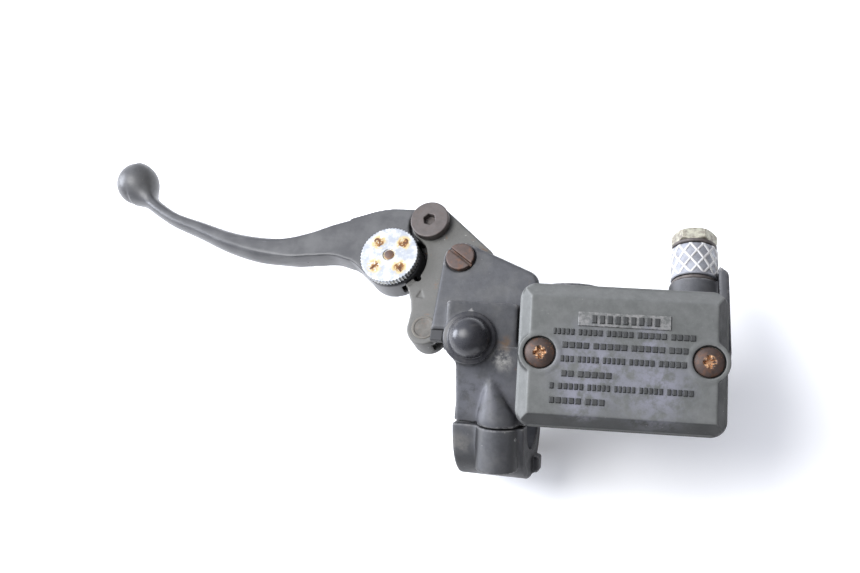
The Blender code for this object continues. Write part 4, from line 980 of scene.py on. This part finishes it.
def hex_head(name, axis, centre, width, low, high, body, slot, node, bore=0.0, shank=None,
             turn=0.0, frame_turn=SQUARE, at=(0, 0, 0)):
    """A hexagon with its corners turned off, bored or on a shank."""
    reach = width / 2 * 1.2
    ends = [low, high] + ([shank[1], shank[2]] if shank else [])
    corner_low = [0.0, 0.0, 0.0]
    corner_high = [0.0, 0.0, 0.0]
    for k, middle in zip([k for k in range(3) if k != axis], centre):
        corner_low[k], corner_high[k] = middle - reach, middle + reach
    corner_low[axis], corner_high[axis] = min(ends) - 0.6, max(ends) + 0.6
    grid = Grid(corner_low, corner_high, 0.22)
    p = grid.axes
    u, v = [p[k] for k in range(3) if k != axis]
    radius = np.hypot(u - centre[0], v - centre[1])
    shape = hexagon(p, axis, centre, width, low, high, 0.12, turn)
    for beyond in (p[axis] - high, low - p[axis]):
        shape = cut(shape, -(radius - width / 2 + beyond * 1.7) / 2, 0.1)
    if shank:
        shape = join(shape, rod(p, axis, centre, *shank, 0.3), 0.4)
    if bore:
        shape = cut(shape, rod(p, axis, centre, bore, min(ends) - 5, max(ends) + 5), 0.2)
    solid_piece(name, grid, shape, body, slot, node, turn=frame_turn, at=at)


def outlet():
    """The sleeve, washers and bolt, a little askew on their boss as old castings sit."""
    first = OUTLET_FACE_Y + GAP
    second = SLEEVE_START_Y + SLEEVE_LENGTH + GAP
    foot = OUTLET_SPIN @ Vector((0, -OUTLET_HUB[1], 0)) + Vector(OUTLET_HUB)
    for label, y in (("inner", first), ("outer", second)):
        ring = eased([(BANJO_RADIUS + GAP, y), (OUTLET_BOSS_RADIUS - 0.7, y),
                      (OUTLET_BOSS_RADIUS - 0.7, y + WASHER_THICKNESS),
                      (BANJO_RADIUS + GAP, y + WASHER_THICKNESS)], 0.25)
        piece(lathe(f"sealing_washer_{label}", ring, foot, OUTLET_SPIN @ ALONG_Y), "body", "copper",
              f"crush_washer_{label}")
    hex_head("outlet_bolt", 1, (0.0, 0.0), HEX_WIDTH, HEX_START_Y, HEX_START_Y + HEX_HEIGHT - 1.0,
             "body", "fitting_brass", "banjo_bolt", shank=(BANJO_RADIUS, 36.0, HEX_START_Y + 1.0),
             turn=pi / 6, frame_turn=OUTLET_SPIN, at=foot)
    sleeve(foot)


def sleeve(foot):
    """A turned core under raised bands that cross both ways."""
    start, end = SLEEVE_START_Y, SLEEVE_START_Y + SLEEVE_LENGTH
    core = SLEEVE_RADIUS - 0.35
    profile = eased([(BANJO_RADIUS + GAP, start), (core + 0.35, start), (core, start + 1.2),
                     (core, end - 0.8), (core - 0.5, end), (BANJO_RADIUS + GAP, end)], 0.3)
    turn = OUTLET_SPIN @ ALONG_Y
    body = lathe("sleeve_core", profile, foot, turn, sharp=50)
    piece(body, "body", "sleeve_mesh", "outlet_sleeve")
    # The core takes its own finish, darker as painted shade between the bands.
    body.data.materials[0] = FINISHES["sleeve_core"]
    points, faces = [], []
    strands, steps, sides, twist = 11, 40, 10, 1.2
    for way in (1, -1):
        for strand in range(strands):
            first = len(points)
            for i in range(steps + 1):
                share = i / steps
                middle = 2 * pi * strand / strands + way * twist * (share - 0.5)
                for side in range(sides):
                    a = 2 * pi * side / sides
                    radius = core - 0.02 + 0.32 * sin(a) - 0.3 * (2 * share - 1) ** 12
                    around = middle + 0.62 * cos(a) / core
                    points.append((radius * cos(around), -radius * sin(around),
                                   start + 0.2 + share * (SLEEVE_LENGTH - 0.5)))
            for i in range(steps):
                for side in range(sides):
                    a, b = first + i * sides + side, first + i * sides + (side + 1) % sides
                    faces.append((a, b, b + sides, a + sides))
            faces.append(tuple(range(first, first + sides)))
            last = first + steps * sides
            faces.append(tuple(range(last, last + sides)))
    net = add_object("sleeve_net", points, faces, turn=turn, at=foot, sharp=70, recalculate=True)
    piece(net, "body", "sleeve_mesh")


# ---------------- lever

def knocker_outline():
    slope = 49.6
    tip = (-9.3, 54.9)
    return (arc(BLADE_PIN, 8.0, slope, 245, 16) + arc(DIAL, 14.0, 27, -54, 12)
            + [(-34.9, 35.6), (-34.1, 31.5)] + arc(PUSH_PIN, 6.6, 165, 355, 14)
            + [(-19.2, 32.5), (-15.0, 41.0)] + arc(PIVOT, 8.0, -60, -5, 6)
            + arc(tip, 3.5, -60, slope, 6))


def knocker():
    grid = Grid((-42.5, 17.5, -0.8), (-4.5, 77.5, 21.6), 0.4)
    p = grid.axes
    shape = slab(p, 2, knocker_outline(), KNOCKER_BOTTOM, KNOCKER_TOP, 0.7)
    slot = (MID_Z - 2.7, MID_Z + 2.7)
    shape = cut(shape, rod(p, 2, BLADE_PIN, 9.4, *slot), 0.4)
    shape = cut(shape, rod(p, 2, PUSH_PIN, 5.6, *slot), 0.4)
    shape = cut(shape, box(p, (PUSH_PIN[0] + 1.0, PUSH_PIN[1] - 5.4, slot[0]),
                           (PUSH_PIN[0] + 13.0, PUSH_PIN[1] + 5.4, slot[1])), 0.4)
    web = slab(p, 2, arc(DIAL, 11.8, 46, -51) + arc(DIAL, 16.3, -50, 45), KNOCKER_BOTTOM + 0.1,
               slot[0] - 0.1, 0.4)
    shape = join(shape, web, 0.4)
    shelf = slab(p, 2, arc(DIAL, 10.2, 66, -49) + arc(DIAL, 17.0, -49, 66), KNOCKER_BOTTOM - 0.8,
                 KNOCKER_BOTTOM + 0.2, 0.2)
    shape = join(shape, shelf, 0.2)
    shape = join(shape, rod(p, 2, TANG, 1.4, 0.0, KNOCKER_BOTTOM + 1.0, 0.4), 0.6)
    along, across = along_across(p, DIAL, PAD_ANGLE)
    pad = rounded([np.hypot(across, p[2] - MID_Z) - 1.9, between(along, CAM_RADIUS + GAP, 17.0)],
                  0.3)
    shape = join(shape, pad, 0.6)
    for side in (-1, 1):
        turn = PAD_ANGLE + side * radians(13.5)
        notch = (DIAL[0] + 14.1 * cos(turn), DIAL[1] + 14.1 * sin(turn))
        shape = cut(shape, rod(p, 2, notch, 1.15, KNOCKER_BOTTOM + 3.5, 40.0), 0.3)
    stub = rounded([between(along, 12.1, 15.5), np.abs(across) - 1.9,
                    between(p[2], KNOCKER_BOTTOM + 0.2, KNOCKER_TOP - 0.6)], 0.3)
    shape = join(shape, stub)
    shape = cut(shape, rod(p, 2, PIVOT, 6.3, *THROUGH), 0.4)
    shape = cut(shape, rod(p, 2, BLADE_PIN, BLADE_HOLE_RADIUS, *THROUGH))
    shape = cut(shape, rod(p, 2, PUSH_PIN, 3.9, *THROUGH), 0.3)
    mark = slab(p, 2, [(-29.9, 36.7), (-31.5, 40.0), (-32.9, 37.0)], KNOCKER_TOP - 0.4, 30.0)
    shape = cut(shape, mark, 0.2)
    solid_piece("knocker_cast", grid, shape, "knocker", "knocker_metal", "knocker")


def blade_outline():
    upper = [(-48.0, 74.3), (-52.0, 73.8), (-56.0, 72.8), (-61.0, 71.0), (-66.0, 69.2)]
    lower = [(-66.0, 52.2), (-63.0, 51.2), (-60.0, 49.6)]
    return (upper[::-1] + arc(BLADE_PIN, 9.2, 138, 236, 12) + arc(DIAL, 11.4, 58, -140, 24)
            + lower[::-1])


def finger_section(p):
    """The lever's long section: an oval whose top and bottom are planed to narrow facets."""
    x = p[0]
    middle = flow(x, [(-56, 61.2), (-62.4, 60.4), (-71.3, 59.8), (-79.6, 57.7), (-88, 55.9),
                      (-100, 55.6), (-116, 58.1), (-132, 63.3), (-150, 69.8), (-160, 76.0),
                      (-170, 85.0)])
    half = flow(x, [(-56, 11.4), (-62.4, 9.7), (-71.3, 7.1), (-79.6, 5.6), (-88, 4.9), (-100, 5.1),
                    (-116, 4.2), (-132, 3.3), (-150, 2.7), (-160, 2.9), (-170, 4.0)])
    tall = flow(x, [(-56, 5.2), (-90, 5.2), (-102, 5.2), (-116, 5.0), (-132, 4.5), (-150, 4.0),
                    (-162, 4.1)])
    facet = flow(x, [(-56, 0.97), (-71, 0.96), (-80, 0.95), (-88, 0.9), (-98, 0.6), (-112, 0.45),
                     (-132, 0.38), (-150, 0.4), (-170, 0.4)])
    depth = tall / np.sqrt(1 - facet ** 2)
    lean = np.gradient(middle.ravel(), x.ravel()).reshape(x.shape)
    off = (p[1] - middle) / np.sqrt(1 + lean ** 2)
    up = p[2] - MID_Z
    return rounded([oval_gap(off, up, half, depth), np.abs(up) - tall,
                    between(x, -171.0, -57.0)], 0.45)


def lever():
    grid = Grid((-180.5, 39.5, 4.5), (-22.0, 95.5, 25.5), 0.5)
    p = grid.axes
    low, high = MID_Z - BLADE_HALF_HEIGHT, MID_Z + BLADE_HALF_HEIGHT
    shape = join(slab(p, 2, blade_outline(), low, high, 0.45), finger_section(p))
    neck_blend = 7.0
    shape = join(shape, ball(p, BALL, BALL_RADIUS), neck_blend)
    tongue = slab(p, 2, arc(BLADE_PIN, 7.0, -70, 130, 14) + [(-44.0, 71.0), (-44.0, 61.5)],
                  MID_Z - 2.4, MID_Z + 2.4, 0.3)
    shape = join(shape, tongue, 0.5)
    shape = cut(shape, rod(p, 2, BLADE_PIN, BLADE_HOLE_RADIUS, *THROUGH), 0.3)
    shape = cut(shape, rod(p, 2, DIAL, BLADE_HOLE_RADIUS, *THROUGH), 0.3)
    shape = cut(shape, rod(p, 2, DIAL, 9.6, MID_Z - 2.3, MID_Z + 2.3), 0.3)
    along, across = along_across(p, DIAL, PAD_ANGLE)
    mouth = rounded([between(along, 2.0, 20.0), np.abs(across) - 3.4, np.abs(p[2] - MID_Z) - 2.3])
    shape = cut(shape, mouth, 0.4)
    solid_piece("lever_forged", grid, shape, "blade", "lever_paint", "lever_blade")


def dial():
    grid = upright_grid(DIAL, 12.2, DIAL_BOTTOM - 0.6, DIAL_TOP + 0.6, 0.16)
    p = grid.axes
    radius = np.hypot(p[0] - DIAL[0], p[1] - DIAL[1])
    angle = np.arctan2(p[1] - DIAL[1], p[0] - DIAL[0])
    knurl = radius - (DIAL_RADIUS - 0.22) - 0.2 * np.cos(54 * angle)
    shape = rounded([knurl, between(p[2], DIAL_BOTTOM, DIAL_TOP)], 0.15)
    bevel = (radius - DIAL_RADIUS + 0.25 + (p[2] - DIAL_TOP)) / 1.4
    shape = cut(shape, -bevel, 0.15)
    shape = cut(shape, rod(p, 2, DIAL, 2.4, DIAL_TOP - 0.35, DIAL_TOP + 2), 0.15)
    solid_piece("dial_wheel", grid, shape, "dial", "dial_zinc", "adjuster_dial")
    axle = eased([(0.0, 7.3), (2.8, 7.3), (3.0, 8.0), (2.5, 8.1), (2.5, 9.4), (3.0, 9.5),
                  (3.0, DIAL_BOTTOM + 0.2), (0.0, DIAL_BOTTOM + 0.2)], 0.15)
    piece(lathe("dial_axle", axle, (*DIAL, 0), SQUARE), "dial", "bright_steel")
    stud = [(0.0, DIAL_TOP - 0.5), (1.9, DIAL_TOP - 0.5), (1.9, DIAL_TOP - 0.1),
            (1.2, DIAL_TOP + 0.15), (0.0, DIAL_TOP + 0.2)]
    piece(lathe("dial_stud", stud, (*DIAL, 0), SQUARE), "dial", "rusty_steel")
    for number, degrees_round in DIAL_NUMBERS:
        text = bpy.data.curves.new(f"dial_number_{number}", "FONT")
        text.body = str(number)
        text.size = 5.2 * MM
        text.align_x = "CENTER"
        text.align_y = "CENTER"
        text.extrude = 0.08 * MM
        text.offset = 0.1 * MM
        obj = bpy.data.objects.new(f"dial_number_{number}", text)
        bpy.context.scene.collection.objects.link(obj)
        obj.location = Vector(dial_spot(degrees_round)) * MM
        obj.rotation_euler = (0, 0, radians(degrees_round) - pi / 2)
        text.materials.append(FINISHES["number_rust"])
        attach(obj, "dial")


def pivots():
    bolt_seat = KNOCKER_TOP + GAP
    grid = upright_grid(BLADE_PIN, 8.4, 3.4, bolt_seat + 4.6, 0.25)
    p = grid.axes
    shape = rod(p, 2, BLADE_PIN, 7.5, bolt_seat, bolt_seat + 3.4, 0.4)
    shape = join(shape, rod(p, 2, BLADE_PIN, 3.0, 4.0, bolt_seat + 1.0, 0.3), 0.4)
    shape = cut(shape, hexagon(p, 2, BLADE_PIN, 4.2, bolt_seat + 0.8, 40.0, turn=0.3), 0.3)
    solid_piece("blade_bolt_head", grid, shape, "knocker", "dark_steel", "blade_bolt")
    seat = PIVOT_SEAT_Z + GAP
    grid = upright_grid(PIVOT, 6.0, -2.2, seat + 3, 0.2)
    p = grid.axes
    shape = rod(p, 2, PIVOT, 5.4, seat, seat + 2.2, 0.45)
    shape = join(shape, rod(p, 2, PIVOT, 4.0, -1.5, seat + 1.0, 0.3), 0.3)
    across = along_across(p, PIVOT, radians(-35))[1]
    shape = cut(shape, rounded([np.abs(across) - 0.58, seat + 0.5 - p[2]]), 0.15)
    solid_piece("slotted_pivot_screw", grid, shape, "body", "rusty_steel", "pivot_screw")
    hex_head("pivot_lock_nut", 2, PIVOT, 13.0, -0.3, EAR_BOTTOM - GAP, "body", "bright_steel",
             "pivot_nut", bore=PIVOT_HOLE_RADIUS)
    hex_head("blade_lock_nut", 2, BLADE_PIN, 10.0, 4.8, KNOCKER_BOTTOM - GAP, "knocker",
             "bright_steel", "blade_nut", bore=BLADE_HOLE_RADIUS)
    top = KNOCKER_TOP + GAP
    pin = [(0.0, KNOCKER_BOTTOM), (3.3, KNOCKER_BOTTOM), (3.6, KNOCKER_BOTTOM + 0.3),
           (3.6, KNOCKER_TOP - 0.2), (4.5, KNOCKER_TOP - 0.05), (4.5, top - 0.2), (4.3, top - 0.07),
           (3.7, top - 0.07), (3.5, top - 0.2), (3.3, top - 0.22), (0.0, top - 0.12)]
    rivet = piece(lathe("riveted_pin", pin, (*PUSH_PIN, 0), SQUARE), "knocker", "dark_steel",
                  "pushrod_pin")
    rivet.data.materials[0] = FINISHES["pin_steel"]


def boot():
    """The dust boot's bellows, with round folds."""
    start = MOUTH_X - GAP
    steps = 60
    length = 11.2
    folds = 3
    wall = []
    for i in range(steps + 1):
        share = i / steps
        crown = 5.95 + 0.62 * cos(2 * pi * folds * share) - 1.9 * max(share - 0.75, 0) * 4 * 0.9
        wall.append((max(crown, 3.9), -length * share))
    profile = wall + [(r - 0.75, h) for r, h in wall[::-1]]
    piece(lathe("bellows_boot", profile, (start, BARREL_Y, MID_Z), ALONG_X, sharp=70), "body",
          "rubber", "dust_boot")


def switch():
    top = EAR_BOTTOM - GAP
    bottom = top - 6.5
    grid = Grid((-17.2, 26.8, bottom - 0.7), (0.8, 41.8, top + 0.7), 0.3)
    p = grid.axes
    shape = box(p, (-16.5, 27.5, bottom), (0.0, 41.0, top), 0.9)
    for y in (29.5, 32.0):
        groove = box(p, (-18.0, y - 0.35, bottom - 1), (-9.0, y + 0.35, bottom + 0.5))
        shape = cut(shape, groove, 0.3)
    shape = cut(shape, rod(p, 2, SWITCH_SCREW, 1.8, -20.0, 20.0), 0.3)
    shape = cut(shape, rod(p, 0, (PLUNGER_Y, SWITCH_Z), 1.6, -20.0, -7.5), 0.3)
    solid_piece("switch_housing", grid, shape, "body", "switch_plastic", "lever_switch")


# ---------------- carried-over CAD pieces

KEPT = {
    "rubber": ["diaphragm", "primary_cup", "secondary_cup"],
    "tray_plastic": ["diaphragm_plate"],
    "bright_steel": ["port_guard", "stop_washer", "pushrod", "spring_seat", "dial_spring_washer",
                     "adjuster_cam", "switch_screw"],
    "spring_steel": ["return_spring", "circlip", "dial_clip"],
    "piston_alloy": ["piston"], "bush_bronze": ["pivot_bush"],
    "plunger_plastic": ["switch_plunger"],
    "contact_brass": ["switch_terminal_front", "switch_terminal_rear"]}


def finish_kept_nodes():
    for slot, names in KEPT.items():
        for name in names:
            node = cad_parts[name]
            node.data.materials.clear()
            node.data.materials.append(FINISHES[slot])


# ---------------- stage

def add_area(name, place, aim, power, hue):
    lamp = bpy.data.lights.new(name, "AREA")
    lamp.color = hue
    lamp.shape = "DISK"
    lamp.size = 0.5
    lamp.energy = power
    obj = bpy.data.objects.new(name, lamp)
    bpy.context.scene.collection.objects.link(obj)
    obj.location = place
    obj.rotation_euler = (Vector(aim) - Vector(place)).to_track_quat("-Z", "Y").to_euler()


def light_world(tree):
    """A soft dome: bright and cool towards the upper left, dimmer and warmer elsewhere."""
    sky = Nodes(tree)
    toward = sky.node("ShaderNodeVectorMath", "Value", {
        0: sky.node("ShaderNodeTexCoord", "Generated", {}),
        1: Vector((-0.72, 0.12, 0.68)).normalized()}, operation="DOT_PRODUCT")
    hue = sky.mix(sky.step(toward, -0.1, 0.95), (0.10, 0.095, 0.09), (1.2, 1.25, 1.42))
    sky.feed(tree.nodes["Background"].inputs[0], hue)


def stage():
    floor_drop = 0.0003
    bpy.ops.mesh.primitive_plane_add(size=6.0, location=(0, 0, cad_box[0][2] - floor_drop))
    floor = bpy.context.object
    floor.name = "floor"
    paper = Finish("floor_paper", roughness=0.9, specular=0.1, glow=0.16,
                   glow_colour=(1.0, 1.0, 1.0))
    paper.set(colour=paper.mix(paper.noise(60, 3, 0.5), (0.9, 0.9, 0.9), (0.93, 0.93, 0.93)))
    floor.data.materials.append(FINISHES["floor_paper"])
    world = bpy.data.worlds.new("studio")
    bpy.context.scene.world = world
    world.use_nodes = True
    light_world(world.node_tree)
    target = (-0.045, 0.03, 0.02)
    add_area("key", (-0.36, 0.02, 0.74), target, 6.2, (1.0, 1.0, 1.0))
    add_area("window", (-0.85, 0.10, 0.34), target, 9.0, (0.86, 0.9, 1.0))


def camera():
    lens = bpy.data.cameras.new("view")
    lens.sensor_width = 36.0
    lens.lens = 41.86
    lens.clip_start = 0.01
    obj = bpy.data.objects.new("view", lens)
    bpy.context.scene.collection.objects.link(obj)
    obj.location = (0.07804, -0.09968, 0.35159)
    obj.rotation_euler = (radians(24.717), radians(13.828), radians(9.530))
    bpy.context.scene.camera = obj
    bpy.context.scene.view_settings.view_transform = "Standard"


make_finishes()
camera()
casting()
boot_lip()
clamp_cap()
socket_bolts()
plug()
lid()
lid_marks()
lid_screws()
sight_window()
outlet()
knocker()
lever()
dial()
pivots()
boot()
switch()
finish_kept_nodes()
stage()
